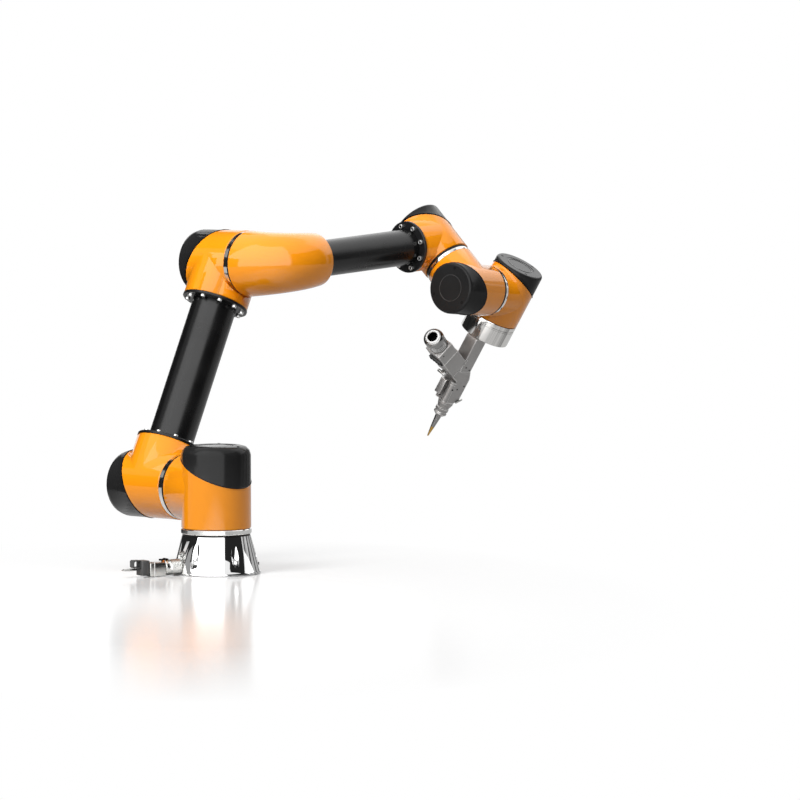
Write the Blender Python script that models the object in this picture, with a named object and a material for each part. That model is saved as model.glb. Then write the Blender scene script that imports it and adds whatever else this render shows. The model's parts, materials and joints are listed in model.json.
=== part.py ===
"""Six-axis collaborative robot arm with a laser welding head. Metres, +Z up.

The origin is the centre of the foot's underside. The base turns about Z, and the column's stub
points along +Y. The arm is placed in one working pose, given by the HOME angles below.
Every joint unit is the same kind of housing: a drum with a running face at one end, a slanted
black cap at the other, and a stub of the drum's own width that carries the next unit or a tube.
"""

import math

import bmesh
import bpy
from mathutils import Matrix, Vector

# Main lengths between the joint axes.
SHOULDER_OFFSET = 0.1453
UPPER_ARM_LENGTH = 0.4063
FOREARM_LENGTH = 0.3768
WRIST_1_OFFSET = 0.1108
WRIST_2_OFFSET = 0.1147
FLANGE_REACH = 0.0876

# Working pose, in degrees: how far each link leans from upright, and how the wrist is turned.
UPPER_ARM_LEAN_DEGREES = 24.75
FOREARM_LEAN_DEGREES = 86.04
WRIST_CLOCKING_DEGREES = 224.6
WRIST_1_HOME_DEGREES = -11.46
WRIST_2_HOME_DEGREES = 75.7

# Clearances shared by every joint and seat.
SEAT_GAP = 0.0003
RUNNING_GAP = 0.0005
OVERRUN = 0.002
STUB_INSET = 0.0004

# Arm joint units: the column, and the slimmer shoulder and elbow units.
LINK_DRUM_RADIUS = 0.0562
COLUMN_DRUM_EXTRA = 0.0021
COLUMN_DRUM_RADIUS = LINK_DRUM_RADIUS + COLUMN_DRUM_EXTRA
ARM_CAP_CENTRE = 0.0303
ARM_CAP_SLOPE = 0.467
ARM_CAP_TOP = 0.0734
ARM_CAP_FILLET = 0.0160
COLUMN_STUB_REACH = 0.0709
COLUMN_RUNNING_FACE = 0.0645
ELBOW_RUNNING_FACE = 0.0562
SHELL_INNER_BEND = 0.0105
ELBOW_OFFSET = ELBOW_RUNNING_FACE + LINK_DRUM_RADIUS + SHELL_INNER_BEND

# Wrist joint units.
WRIST_DRUM_RADIUS = 0.0444
WRIST_CAP_CENTRE = 0.0246
WRIST_CAP_SLOPE = 0.55
WRIST_CAP_TOP = 0.0540
WRIST_CAP_FILLET = 0.0046
WRIST_1_FACE = 0.0437
WRIST_2_FACE = 0.0538
WRIST_3_FACE = 0.0487

# Cap details.
CAP_LIP_HEIGHT = 0.0022
CAP_LIP_PROUD = 0.0010
CAP_DISH_SHARE = 0.62
CAP_DISH_DEPTH = 0.0008
HOUSING_EDGE = 0.0012

# Joint rings: a black seal on the carried side and a polished band beside it.
SEAL_WIDTH = 0.0025
RING_WIDTH = 0.0075
WRIST_SEAL_WIDTH = 0.0042
WRIST_RING_WIDTH = 0.0052
RING_INSET = 0.0012
SEAL_INSET = 0.0020

# Links.
TUBE_RADIUS = 0.0384
FLANGE_PROUD = 0.0004
FLANGE_RADIUS = LINK_DRUM_RADIUS + FLANGE_PROUD
FLANGE_THICKNESS = 0.0045
FLANGE_EDGE = 0.0010
FLANGE_SEAT = 0.0726
WRIST_TUBE_RADIUS = 0.0310
WRIST_FLANGE_RADIUS = WRIST_DRUM_RADIUS + FLANGE_PROUD
WRIST_FLANGE_SEAT = 0.0614
SHELL_BEND_RADIUS = 0.0474
SHELL_END_RADIUS = 0.0458
SHELL_LENGTH = 0.0875
SHELL_END_FILLET = 0.0034
SHELL_COLLAR_LENGTH = 0.0035
SHELL_COLLAR_PROUD = 0.0030

# Pedestal.
FOOT_RADIUS = 0.0742
FOOT_EDGE = 0.0010
FOOT_LIP = 0.0030
PEDESTAL_TOP_INSET = 0.0010
PEDESTAL_HEIGHT = 0.0632
BASE_COLLAR_HEIGHT = 0.0026
BASE_COLLAR_INSET = 0.0016
BASE_RING_PROUD = 0.0006
BASE_RING_HEIGHT = 0.0084
BASE_RING_START = PEDESTAL_HEIGHT + SEAT_GAP + BASE_COLLAR_HEIGHT + SEAT_GAP
SHOULDER_HEIGHT = BASE_RING_START + BASE_RING_HEIGHT + RUNNING_GAP + COLUMN_RUNNING_FACE
POCKET_COUNT = 6
POCKET_BEARING_DEGREES = 14.4
POCKET_RADIUS = 0.0066
POCKET_PLACE = 0.0661
POCKET_FLOOR = 0.0130

# Lead socket on the pedestal and the plug in it.
SOCKET_BEARING_DEGREES = 164.0
SOCKET_HEIGHT = 0.0138
SOCKET_RADIUS = 0.0118
SOCKET_REACH = 0.0704
SOCKET_ROOT = 0.0560
ARCH_HALF_WIDTH = 0.0145
ARCH_TOP = 0.0400
PLUG_RING_RADIUS = 0.0130
PLUG_RING_LENGTH = 0.0168
PLUG_RING_GROOVE = 0.0009
PLUG_RING_RIBS = 6
PLUG_COLLAR_RADIUS = 0.0134
PLUG_COLLAR_LENGTH = 0.0125
PLUG_BODY_LENGTH = 0.0296
PLUG_BODY_WIDTH = 0.0240
PLUG_BODY_HEIGHT = 0.0228
PLUG_HOOD_LENGTH = 0.0145
PLUG_HOOD_WIDTH = 0.0220
PLUG_HOOD_HEIGHT = 0.0250
PLUG_HOOD_RISE = 0.0020
PLUG_EDGE = 0.0012
PLUG_LATCH_LENGTH = 0.0135
PLUG_LATCH_THICKNESS = 0.0020
PLUG_LATCH_WIDTH = 0.0130
PLUG_LATCH_HEIGHT = 0.0132
PLUG_TAB_LENGTH = 0.0335
PLUG_TAB_WIDTH = 0.0130
PLUG_TAB_THICKNESS = 0.0044
PLUG_TAB_RISE = 0.0100

# Tool flange.
TOOL_FLANGE_RADIUS = 0.0444
TOOL_FLANGE_EDGE = 0.0015
TOOL_GROOVE_WIDTH = 0.0014
TOOL_GROOVE_DEPTH = 0.0012
TOOL_GROOVE_PLACE = 0.0070

# Laser head, in the flange's frame: X to the fibre side, Y across, Z out of the flange.
BAR_FRONT = 0.0460
BAR_DEPTH = 0.0310
BAR_WIDTH = 0.0240
HEAD_SIDE = 0.0210
HEAD_WIDTH = 0.0280
HEAD_BACK = 0.0060
HEAD_FRONT = 0.0405
HEAD_TOP = 0.0660
HEAD_BOTTOM = 0.1310
HEAD_EDGE = 0.0010
FIBRE_TILT_DEGREES = 28.0
FIBRE_SEAT_X = 0.0505
FIBRE_SEAT_Z = 0.0616
FIBRE_BLOCK_SIDE = 0.0360
FIBRE_BLOCK_LENGTH = 0.0480
FIBRE_BLOCK_EDGE = 0.0010
FIBRE_SLEEVE_SIDE = 0.0342
FIBRE_SLEEVE_LENGTH = 0.0310
FIBRE_NECK_RADIUS = 0.0168
FIBRE_NOSE_RADIUS = 0.0180
FIBRE_NOSE_LENGTH = 0.0340
FIBRE_NOSE_CHAMFER = 0.0035
FIBRE_BORE_RADIUS = 0.0085
FIBRE_BORE_FLOOR = 0.0040
FOCUS_RADIUS = 0.0056
SIDE_MODULE_DEPTH = 0.0078
SIDE_MODULE_WIDTH = 0.0130
SIDE_MODULE_LENGTH = 0.0292
SIDE_MODULE_PLACE = 0.0922
NOZZLE_X = 0.0200
NOZZLE_SEAT_TOP_RADIUS = 0.0138
NOZZLE_SEAT_LENGTH = 0.0140
COLLAR_RADIUS = 0.0118
COLLAR_LENGTH = 0.0165
COLLAR_GROOVE = 0.0012
LANCE_TOP_RADIUS = 0.0058
LANCE_END_RADIUS = 0.0036
LANCE_LENGTH = 0.0240
TIP_RADIUS = 0.0012
TIP_LENGTH = 0.0190
LEVER_LENGTH = 0.0154
LEVER_WIDTH = 0.0040
LEVER_THICKNESS = 0.0020
LEVER_TILT_DEGREES = -27.0
PLATE_LENGTH = 0.0270
PLATE_WIDTH = 0.0095
PLATE_THICKNESS = 0.0042
FITTING_RADIUS = 0.0029
FITTING_LENGTH = 0.0160
FITTING_PLACE = 0.0060
FITTING_STAND = 0.0026
FITTING_FOOT_LENGTH = 0.0070

# Facets round the turned pieces.
LARGE_FACETS = 40
MEDIUM_FACETS = 24
SMALL_FACETS = 16
FILLET_STEPS = 3
BEND_STEPS = 8
ARCH_STEPS = 8
TAB_STEPS = 4


def share(length, part):
    """A part of a length, for places that follow another size."""
    return length * part


def material(name, colour, roughness, metallic):
    made = bpy.data.materials.new(name)
    made.use_nodes = True
    shader = made.node_tree.nodes["Principled BSDF"]
    shader.inputs["Base Color"].default_value = (*colour, 1.0)
    shader.inputs["Roughness"].default_value = roughness
    shader.inputs["Metallic"].default_value = metallic
    made.diffuse_color = (*colour, 1.0)
    return made


def clear_scene():
    for old in list(bpy.data.objects):
        bpy.data.objects.remove(old, do_unlink=True)


def finish(name, mesh, look=None, parent=None, place=None, helper=False):
    """Make the object of a mesh, put it in its parent's frame and give it its material."""
    made = bpy.data.objects.new(name, mesh)
    bpy.context.collection.objects.link(made)
    made.parent = parent
    if place is not None:
        made.matrix_basis = place
    if look is not None:
        mesh.materials.append(look)
    if helper:
        made.hide_render = True
        made.display_type = "WIRE"
    else:
        mesh.shade_smooth()
        mesh.set_sharp_from_angle(angle=math.radians(32))
    return made


def mesh_of(name, work):
    bmesh.ops.recalc_face_normals(work, faces=work.faces)
    made = bpy.data.meshes.new(name)
    work.to_mesh(made)
    work.free()
    return made


def turned(name, profile, facets, slope=0):
    """A closed body turned about Z from (radius, height, tilt share) rings, bottom to top.

    A ring with a tilt share is slanted: it rises along +X by slope times x times that share.
    """
    work = bmesh.new()
    rings = []
    for radius, height, tilt in profile:
        ring = []
        if radius == 0:
            ring.append(work.verts.new((0, 0, height)))
        else:
            for step in range(facets):
                angle = math.tau * step / facets
                x = radius * math.cos(angle)
                y = radius * math.sin(angle)
                ring.append(work.verts.new((x, y, height + slope * tilt * x)))
        rings.append(ring)
    for low, high in zip(rings, rings[1:]):
        for step in range(facets):
            after = (step + 1) % facets
            if len(low) == 1:
                work.faces.new((low[0], high[after], high[step]))
            elif len(high) == 1:
                work.faces.new((low[step], low[after], high[0]))
            else:
                work.faces.new((low[step], low[after], high[after], high[step]))
    if len(rings[0]) > 1:
        work.faces.new(list(reversed(rings[0])))
    if len(rings[-1]) > 1:
        work.faces.new(rings[-1])
    return mesh_of(name, work)


def extruded(name, outline, near, far):
    """A flat outline of (x, z) points, carried along Y from near to far."""
    work = bmesh.new()
    first = [work.verts.new((x, near, z)) for x, z in outline]
    second = [work.verts.new((x, far, z)) for x, z in outline]
    work.faces.new(first)
    work.faces.new(list(reversed(second)))
    count = len(outline)
    for step in range(count):
        after = (step + 1) % count
        work.faces.new((first[after], first[step], second[step], second[after]))
    return mesh_of(name, work)


def block(name, low, high, edge=0):
    """A box between two corners, with its edges bevelled."""
    work = bmesh.new()
    bmesh.ops.create_cube(work, size=1)
    for vert in work.verts:
        for axis in range(3):
            middle = (low[axis] + high[axis]) / 2
            vert.co[axis] = middle + vert.co[axis] * (high[axis] - low[axis])
    if edge:
        bmesh.ops.bevel(
            work, geom=list(work.edges), offset=edge, segments=2, profile=0.5, affect="EDGES"
        )
    return mesh_of(name, work)


def boolean(target, other, operation):
    step = target.modifiers.new(operation.lower() + "_" + other.name, "BOOLEAN")
    step.operation = operation
    step.object = other
    step.solver = "EXACT"
    other.hide_render = True
    other.display_type = "WIRE"


def fillet(radius, height, size, steps=FILLET_STEPS, tilt=0):
    """Rings of a rounded top edge, from the wall of a drum in to its flat top."""
    points = []
    for step in range(steps + 1):
        angle = math.pi / 2 * step / steps
        inner = radius - size + size * math.cos(angle)
        points.append((inner, height - size + size * math.sin(angle), tilt))
    return points


def joint_housing(name, unit, face, stub_reach, look, parent, place):
    """The painted drum of a joint unit and its stub along +X, joined into one body."""
    radius = unit["radius"]
    top = unit["cap_centre"] - SEAT_GAP
    drum = turned(
        name,
        [
            (radius - HOUSING_EDGE, -face, 0),
            (radius, -face + HOUSING_EDGE, 0),
            (radius, top, 1),
        ],
        LARGE_FACETS,
        unit["slope"],
    )
    made = finish(name, drum, look, parent, place)
    stub_radius = unit["stub"]
    stub = turned(
        name + "_stub",
        [
            (stub_radius, 0, 0),
            (stub_radius, stub_reach - HOUSING_EDGE, 0),
            (stub_radius - HOUSING_EDGE, stub_reach, 0),
        ],
        LARGE_FACETS,
    )
    aim = Matrix.Rotation(math.pi / 2, 4, "Y") @ Matrix.Rotation(math.pi / LARGE_FACETS, 4, "Z")
    other = finish(name + "_stub", stub, None, parent, place @ aim, helper=True)
    relief = turned(
        name + "_relief",
        [
            (radius + OVERRUN, -face - radius, 0),
            (radius + OVERRUN, -face + HOUSING_EDGE + SEAT_GAP, 0),
        ],
        LARGE_FACETS,
    )
    boolean(other, finish(name + "_relief", relief, None, parent, place, helper=True), "DIFFERENCE")
    boolean(made, other, "UNION")
    trim = turned(
        name + "_trim",
        [
            (radius + OVERRUN + OVERRUN, top, 1),
            (radius + OVERRUN + OVERRUN, unit["cap_top"] + radius, 0),
        ],
        MEDIUM_FACETS,
        unit["slope"],
    )
    cutter = finish(name + "_trim", trim, None, parent, place, helper=True)
    boolean(made, cutter, "DIFFERENCE")
    return made


def joint_cap(name, unit, look, parent, place):
    """The black end cap: a lip along its slanted lower edge, a rounded top and a shallow dish."""
    radius = unit["radius"]
    base = unit["cap_centre"]
    lip = radius + CAP_LIP_PROUD
    dish = share(radius, CAP_DISH_SHARE)
    profile = [
        (lip - HOUSING_EDGE, base, 1),
        (lip, base + share(CAP_LIP_HEIGHT, 0.6), 1),
        (radius, base + CAP_LIP_HEIGHT, 1),
    ]
    profile += fillet(radius, unit["cap_top"], unit["fillet"])
    profile += [
        (dish, unit["cap_top"], 0),
        (dish - CAP_DISH_DEPTH, unit["cap_top"] - CAP_DISH_DEPTH, 0),
    ]
    cap = turned(name, profile, LARGE_FACETS, unit["slope"])
    return finish(name, cap, look, parent, place)


def joint_ring(name, radius, low, high, look, parent, place, edge=0):
    """A solid disc that closes a joint, seen as a band: radius, between two heights."""
    profile = [
        (radius - edge, low, 0),
        (radius, low + edge, 0),
        (radius, high - edge, 0),
        (radius - edge, high, 0),
    ]
    if not edge:
        profile = [(radius, low, 0), (radius, high, 0)]
    return finish(name, turned(name, profile, LARGE_FACETS), look, parent, place)


def link_flange(name, radius, low, high, edge_at_high, look, parent, place):
    """A bolting flange at the end of a tube, with its outer edge broken on the open side."""
    if edge_at_high:
        profile = [(radius, low, 0), (radius, high - FLANGE_EDGE, 0), (radius - FLANGE_EDGE, high, 0)]
    else:
        profile = [(radius - FLANGE_EDGE, low, 0), (radius, low + FLANGE_EDGE, 0), (radius, high, 0)]
    return finish(name, turned(name, profile, LARGE_FACETS), look, parent, place)


def swept_elbow(name, turn_radius, start_radius, bend_radius, end_radius, length, end_fillet):
    """A shell that leaves a running face along -Z and bends round into +X, narrowing as it goes.

    The running face is centred on the start of the bend, at x = 0 and z = turn_radius.
    """
    stations = [(0.0, turn_radius, 0.0, start_radius - HOUSING_EDGE)]
    stations.append((0.0, turn_radius - HOUSING_EDGE, 0.0, start_radius))
    for step in range(1, BEND_STEPS + 1):
        part = step / BEND_STEPS
        angle = math.pi / 2 * part
        x = turn_radius * (1 - math.cos(angle))
        z = turn_radius * (1 - math.sin(angle))
        stations.append((x, z, angle, start_radius + (bend_radius - start_radius) * part))
    stations.append((length - end_fillet, 0.0, math.pi / 2, end_radius))
    for step in range(1, FILLET_STEPS + 1):
        angle = math.pi / 2 * step / FILLET_STEPS
        radius = end_radius - end_fillet * (1 - math.cos(angle))
        stations.append((length - end_fillet * (1 - math.sin(angle)), 0.0, math.pi / 2, radius))
    work = bmesh.new()
    rings = []
    for x, z, angle, radius in stations:
        side = Vector((math.cos(angle), 0, math.sin(angle)))
        ring = []
        for step in range(LARGE_FACETS):
            round_angle = math.tau * step / LARGE_FACETS
            point = Vector((x, 0, z)) + side * (radius * math.cos(round_angle))
            ring.append(work.verts.new(point + Vector((0, radius * math.sin(round_angle), 0))))
        rings.append(ring)
    for low, high in zip(rings, rings[1:]):
        for step in range(LARGE_FACETS):
            after = (step + 1) % LARGE_FACETS
            work.faces.new((low[step], low[after], high[after], high[step]))
    work.faces.new(list(reversed(rings[0])))
    work.faces.new(rings[-1])
    return mesh_of(name, work)


def empty(name, parent, place):
    made = bpy.data.objects.new(name, None)
    made.empty_display_size = SHOULDER_HEIGHT
    bpy.context.collection.objects.link(made)
    made.parent = parent
    made.matrix_basis = place
    return made


def moved(x, y, z):
    return Matrix.Translation((x, y, z))


def turned_by(degrees, axis):
    return Matrix.Rotation(math.radians(degrees), 4, axis)


def build_base(looks):
    """The chromed pedestal, its screw pockets, and the lead socket with its plug."""
    top = PEDESTAL_HEIGHT
    top_radius = COLUMN_DRUM_RADIUS - PEDESTAL_TOP_INSET
    profile = [
        (FOOT_RADIUS - FOOT_EDGE, 0, 0),
        (FOOT_RADIUS, FOOT_EDGE, 0),
        (FOOT_RADIUS, FOOT_LIP, 0),
        (FOOT_RADIUS - FOOT_EDGE, FOOT_LIP + FOOT_EDGE, 0),
        (top_radius, top, 0),
    ]
    pedestal = finish("pedestal", turned("pedestal", profile, LARGE_FACETS), looks["chrome"])
    for count in range(POCKET_COUNT):
        bearing = POCKET_BEARING_DEGREES + 360 * count / POCKET_COUNT
        name = "pocket_cutter_" + str(count + 1)
        pocket = turned(name, [(POCKET_RADIUS, POCKET_FLOOR, 0), (POCKET_RADIUS, top, 0)], SMALL_FACETS)
        place = turned_by(bearing, "Z") @ moved(POCKET_PLACE, 0, 0)
        boolean(pedestal, finish(name, pocket, None, None, place, True), "DIFFERENCE")

    socket_frame = turned_by(SOCKET_BEARING_DEGREES, "Z") @ moved(0, 0, SOCKET_HEIGHT)
    along = turned_by(90, "Y")
    arch = [(-ARCH_HALF_WIDTH, -OVERRUN), (ARCH_HALF_WIDTH, -OVERRUN)]
    for step in range(ARCH_STEPS + 1):
        angle = math.pi * step / ARCH_STEPS
        rise = ARCH_TOP - ARCH_HALF_WIDTH + ARCH_HALF_WIDTH * math.sin(angle)
        arch.append((ARCH_HALF_WIDTH * math.cos(angle), rise))
    seat = extruded("socket_seat", arch, SOCKET_ROOT, FOOT_RADIUS + OVERRUN)
    across = turned_by(SOCKET_BEARING_DEGREES - 90, "Z")
    boolean(pedestal, finish("socket_seat", seat, None, None, across, True), "DIFFERENCE")
    profile = [
        (SOCKET_RADIUS, SOCKET_ROOT + SEAT_GAP, 0),
        (SOCKET_RADIUS, SOCKET_REACH - PLUG_EDGE, 0),
        (SOCKET_RADIUS - PLUG_EDGE, SOCKET_REACH, 0),
    ]
    socket = turned("lead_socket", profile, MEDIUM_FACETS)
    finish("lead_socket", socket, looks["steel"], None, socket_frame @ along)

    ring_start = SOCKET_REACH + SEAT_GAP
    profile = [(PLUG_RING_RADIUS - PLUG_RING_GROOVE, ring_start, 0)]
    pitch = PLUG_RING_LENGTH / PLUG_RING_RIBS
    for count in range(PLUG_RING_RIBS):
        low = ring_start + pitch * count
        profile.append((PLUG_RING_RADIUS, low + share(pitch, 0.2), 0))
        profile.append((PLUG_RING_RADIUS, low + share(pitch, 0.7), 0))
        profile.append((PLUG_RING_RADIUS - PLUG_RING_GROOVE, low + share(pitch, 0.95), 0))
    collar_end = ring_start + PLUG_RING_LENGTH + PLUG_COLLAR_LENGTH
    profile.append((PLUG_COLLAR_RADIUS, ring_start + PLUG_RING_LENGTH + PLUG_RING_GROOVE, 0))
    profile.append((PLUG_COLLAR_RADIUS, collar_end - PLUG_EDGE, 0))
    profile.append((PLUG_COLLAR_RADIUS - PLUG_EDGE, collar_end, 0))
    ring = turned("plug_ring", profile, MEDIUM_FACETS)
    finish("plug_ring", ring, looks["steel"], None, socket_frame @ along)

    body_start = collar_end + SEAT_GAP
    body_end = body_start + PLUG_BODY_LENGTH
    floor = SEAT_GAP - SOCKET_HEIGHT
    body = block(
        "plug_body",
        (body_start, -PLUG_BODY_WIDTH / 2, floor),
        (body_end, PLUG_BODY_WIDTH / 2, floor + PLUG_BODY_HEIGHT),
        PLUG_EDGE,
    )
    finish("plug_body", body, looks["steel"], None, socket_frame)
    hood_start = body_end + SEAT_GAP
    hood_end = hood_start + PLUG_HOOD_LENGTH
    hood_low = floor + PLUG_HOOD_RISE
    hood = block(
        "plug_hood",
        (hood_start, -PLUG_HOOD_WIDTH / 2, hood_low),
        (hood_end, PLUG_HOOD_WIDTH / 2, hood_low + PLUG_HOOD_HEIGHT),
        PLUG_EDGE,
    )
    finish("plug_hood", hood, looks["dark"], None, socket_frame)
    latch_start = hood_end + SEAT_GAP
    latch_end = latch_start + PLUG_LATCH_LENGTH
    thick = PLUG_LATCH_THICKNESS
    tab_low = floor + PLUG_TAB_RISE
    latch_low = tab_low + PLUG_TAB_THICKNESS + SEAT_GAP
    latch_top = latch_low + PLUG_LATCH_HEIGHT
    outline = [
        (latch_start, latch_low),
        (latch_end - thick, latch_low),
        (latch_end, latch_low + thick),
        (latch_end, latch_top - thick),
        (latch_end - thick, latch_top),
        (latch_start, latch_top),
        (latch_start, latch_top - thick),
        (latch_end - thick - thick, latch_top - thick),
        (latch_end - thick, latch_top - thick - thick),
        (latch_end - thick, latch_low + thick),
        (latch_start, latch_low + thick),
    ]
    latch = extruded("plug_latch", outline, -PLUG_LATCH_WIDTH / 2, PLUG_LATCH_WIDTH / 2)
    finish("plug_latch", latch, looks["dark"], None, socket_frame)
    tab_half = PLUG_TAB_THICKNESS / 2
    profile = []
    for step in range(TAB_STEPS + 1):
        angle = math.pi * (step / TAB_STEPS - 1 / 2)
        rim = 0 if step in (0, TAB_STEPS) else math.cos(angle)
        profile.append((rim * PLUG_TAB_LENGTH / 2, math.sin(angle) * tab_half, 0))
    tab = turned("plug_tab", profile, MEDIUM_FACETS)
    tab.transform(Matrix.Diagonal((1, PLUG_TAB_WIDTH / PLUG_TAB_LENGTH, 1, 1)))
    tab_frame = socket_frame @ moved(latch_start + PLUG_TAB_LENGTH / 2, 0, tab_low + tab_half)
    finish("plug_tab", tab, looks["steel"], None, tab_frame)

    joint_ring(
        "base_collar",
        COLUMN_DRUM_RADIUS - BASE_COLLAR_INSET,
        top + SEAT_GAP,
        top + SEAT_GAP + BASE_COLLAR_HEIGHT,
        looks["black"],
        None,
        moved(0, 0, 0),
    )
    joint_ring(
        "base_ring",
        COLUMN_DRUM_RADIUS + BASE_RING_PROUD,
        BASE_RING_START,
        BASE_RING_START + BASE_RING_HEIGHT,
        looks["ring"],
        None,
        moved(0, 0, 0),
        HOUSING_EDGE,
    )


def build_arm(looks, column_unit, arm, wrist):
    """The shoulder, both links and the elbow."""
    upright = moved(0, 0, 0)
    column = empty("base_turn", None, moved(0, 0, SHOULDER_HEIGHT))
    toward_stub = turned_by(90, "Z")
    joint_housing(
        "shoulder_housing",
        column_unit,
        COLUMN_RUNNING_FACE,
        COLUMN_STUB_REACH,
        looks["orange"],
        column,
        toward_stub,
    )
    joint_cap("shoulder_cap", column_unit, looks["black"], column, toward_stub)

    lean = turned_by(-90, "X") @ turned_by(UPPER_ARM_LEAN_DEGREES - 90, "Z")
    shoulder = empty("shoulder", column, moved(0, SHOULDER_OFFSET, 0) @ lean)
    seal_start = COLUMN_STUB_REACH + SEAT_GAP
    seal_end = seal_start + SEAL_WIDTH
    joint_ring(
        "shoulder_seal",
        LINK_DRUM_RADIUS - SEAL_INSET,
        seal_start,
        seal_end,
        looks["black"],
        column,
        turned_by(-90, "X"),
    )
    ring_start = seal_end + RUNNING_GAP - SHOULDER_OFFSET
    ring_end = ring_start + RING_WIDTH
    joint_ring(
        "shoulder_ring",
        LINK_DRUM_RADIUS - RING_INSET,
        ring_start,
        ring_end,
        looks["ring"],
        shoulder,
        upright,
    )
    joint_housing(
        "lower_housing",
        arm,
        -(ring_end + SEAT_GAP),
        FLANGE_SEAT,
        looks["orange"],
        shoulder,
        upright,
    )
    joint_cap("lower_cap", arm, looks["black"], shoulder, upright)

    along = turned_by(90, "Y")
    flange_start = FLANGE_SEAT + SEAT_GAP
    flange_end = flange_start + FLANGE_THICKNESS
    link_flange(
        "lower_flange", FLANGE_RADIUS, flange_start, flange_end, True, looks["black"], shoulder, along
    )
    high_end = UPPER_ARM_LENGTH - FLANGE_SEAT - SEAT_GAP
    high_start = high_end - FLANGE_THICKNESS
    joint_ring(
        "upper_arm_tube",
        TUBE_RADIUS,
        flange_end + SEAT_GAP,
        high_start - SEAT_GAP,
        looks["tube"],
        shoulder,
        along,
    )
    link_flange(
        "upper_flange", FLANGE_RADIUS, high_start, high_end, False, looks["black"], shoulder, along
    )
    elbow_place = moved(UPPER_ARM_LENGTH, 0, 0) @ turned_by(180, "Z")
    elbow_face = ELBOW_RUNNING_FACE - SEAL_WIDTH - RING_WIDTH - SEAT_GAP - RUNNING_GAP
    joint_housing(
        "elbow_housing", arm, elbow_face, FLANGE_SEAT, looks["orange"], shoulder, elbow_place
    )
    joint_cap("elbow_cap", arm, looks["black"], shoulder, elbow_place)
    joint_ring(
        "elbow_ring",
        LINK_DRUM_RADIUS - RING_INSET,
        -elbow_face - SEAT_GAP - RING_WIDTH,
        -elbow_face - SEAT_GAP,
        looks["ring"],
        shoulder,
        elbow_place,
    )

    bend = turned_by(FOREARM_LEAN_DEGREES - UPPER_ARM_LEAN_DEGREES, "Z")
    elbow = empty("elbow", shoulder, moved(UPPER_ARM_LENGTH, 0, 0) @ bend)
    joint_ring(
        "elbow_seal",
        LINK_DRUM_RADIUS - SEAL_INSET,
        SEAT_GAP - ELBOW_RUNNING_FACE,
        SEAL_WIDTH - ELBOW_RUNNING_FACE,
        looks["black"],
        elbow,
        upright,
    )
    forearm_root = moved(0, 0, -ELBOW_OFFSET)
    turn_radius = ELBOW_OFFSET - ELBOW_RUNNING_FACE
    shell = swept_elbow(
        "forearm_shell",
        turn_radius,
        LINK_DRUM_RADIUS,
        SHELL_BEND_RADIUS,
        SHELL_END_RADIUS,
        SHELL_LENGTH,
        SHELL_END_FILLET,
    )
    finish("forearm_shell", shell, looks["orange"], elbow, forearm_root)
    collar_start = SHELL_LENGTH + SEAT_GAP
    collar_end = collar_start + SHELL_COLLAR_LENGTH
    joint_ring(
        "shell_collar",
        WRIST_TUBE_RADIUS + SHELL_COLLAR_PROUD,
        collar_start,
        collar_end,
        looks["black"],
        elbow,
        forearm_root @ along,
    )
    wrist_flange_end = FOREARM_LENGTH - WRIST_FLANGE_SEAT - SEAT_GAP
    wrist_flange_start = wrist_flange_end - FLANGE_THICKNESS
    joint_ring(
        "forearm_tube",
        WRIST_TUBE_RADIUS,
        collar_end + SEAT_GAP,
        wrist_flange_start - SEAT_GAP,
        looks["tube"],
        elbow,
        forearm_root @ along,
    )
    link_flange(
        "wrist_flange",
        WRIST_FLANGE_RADIUS,
        wrist_flange_start,
        wrist_flange_end,
        False,
        looks["black"],
        elbow,
        forearm_root @ along,
    )
    clocked = moved(FOREARM_LENGTH, 0, -ELBOW_OFFSET) @ turned_by(WRIST_CLOCKING_DEGREES, "X")
    facing = clocked @ turned_by(180, "Y")
    joint_housing(
        "wrist_housing", wrist, WRIST_1_FACE, WRIST_FLANGE_SEAT, looks["orange"], elbow, facing
    )
    joint_cap("wrist_cap", wrist, looks["black"], elbow, facing)
    joint_ring(
        "wrist_1_seal",
        WRIST_DRUM_RADIUS - SEAL_INSET,
        WRIST_1_FACE + SEAT_GAP,
        WRIST_1_FACE + SEAT_GAP + WRIST_SEAL_WIDTH,
        looks["black"],
        elbow,
        clocked,
    )
    return elbow, clocked


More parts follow.
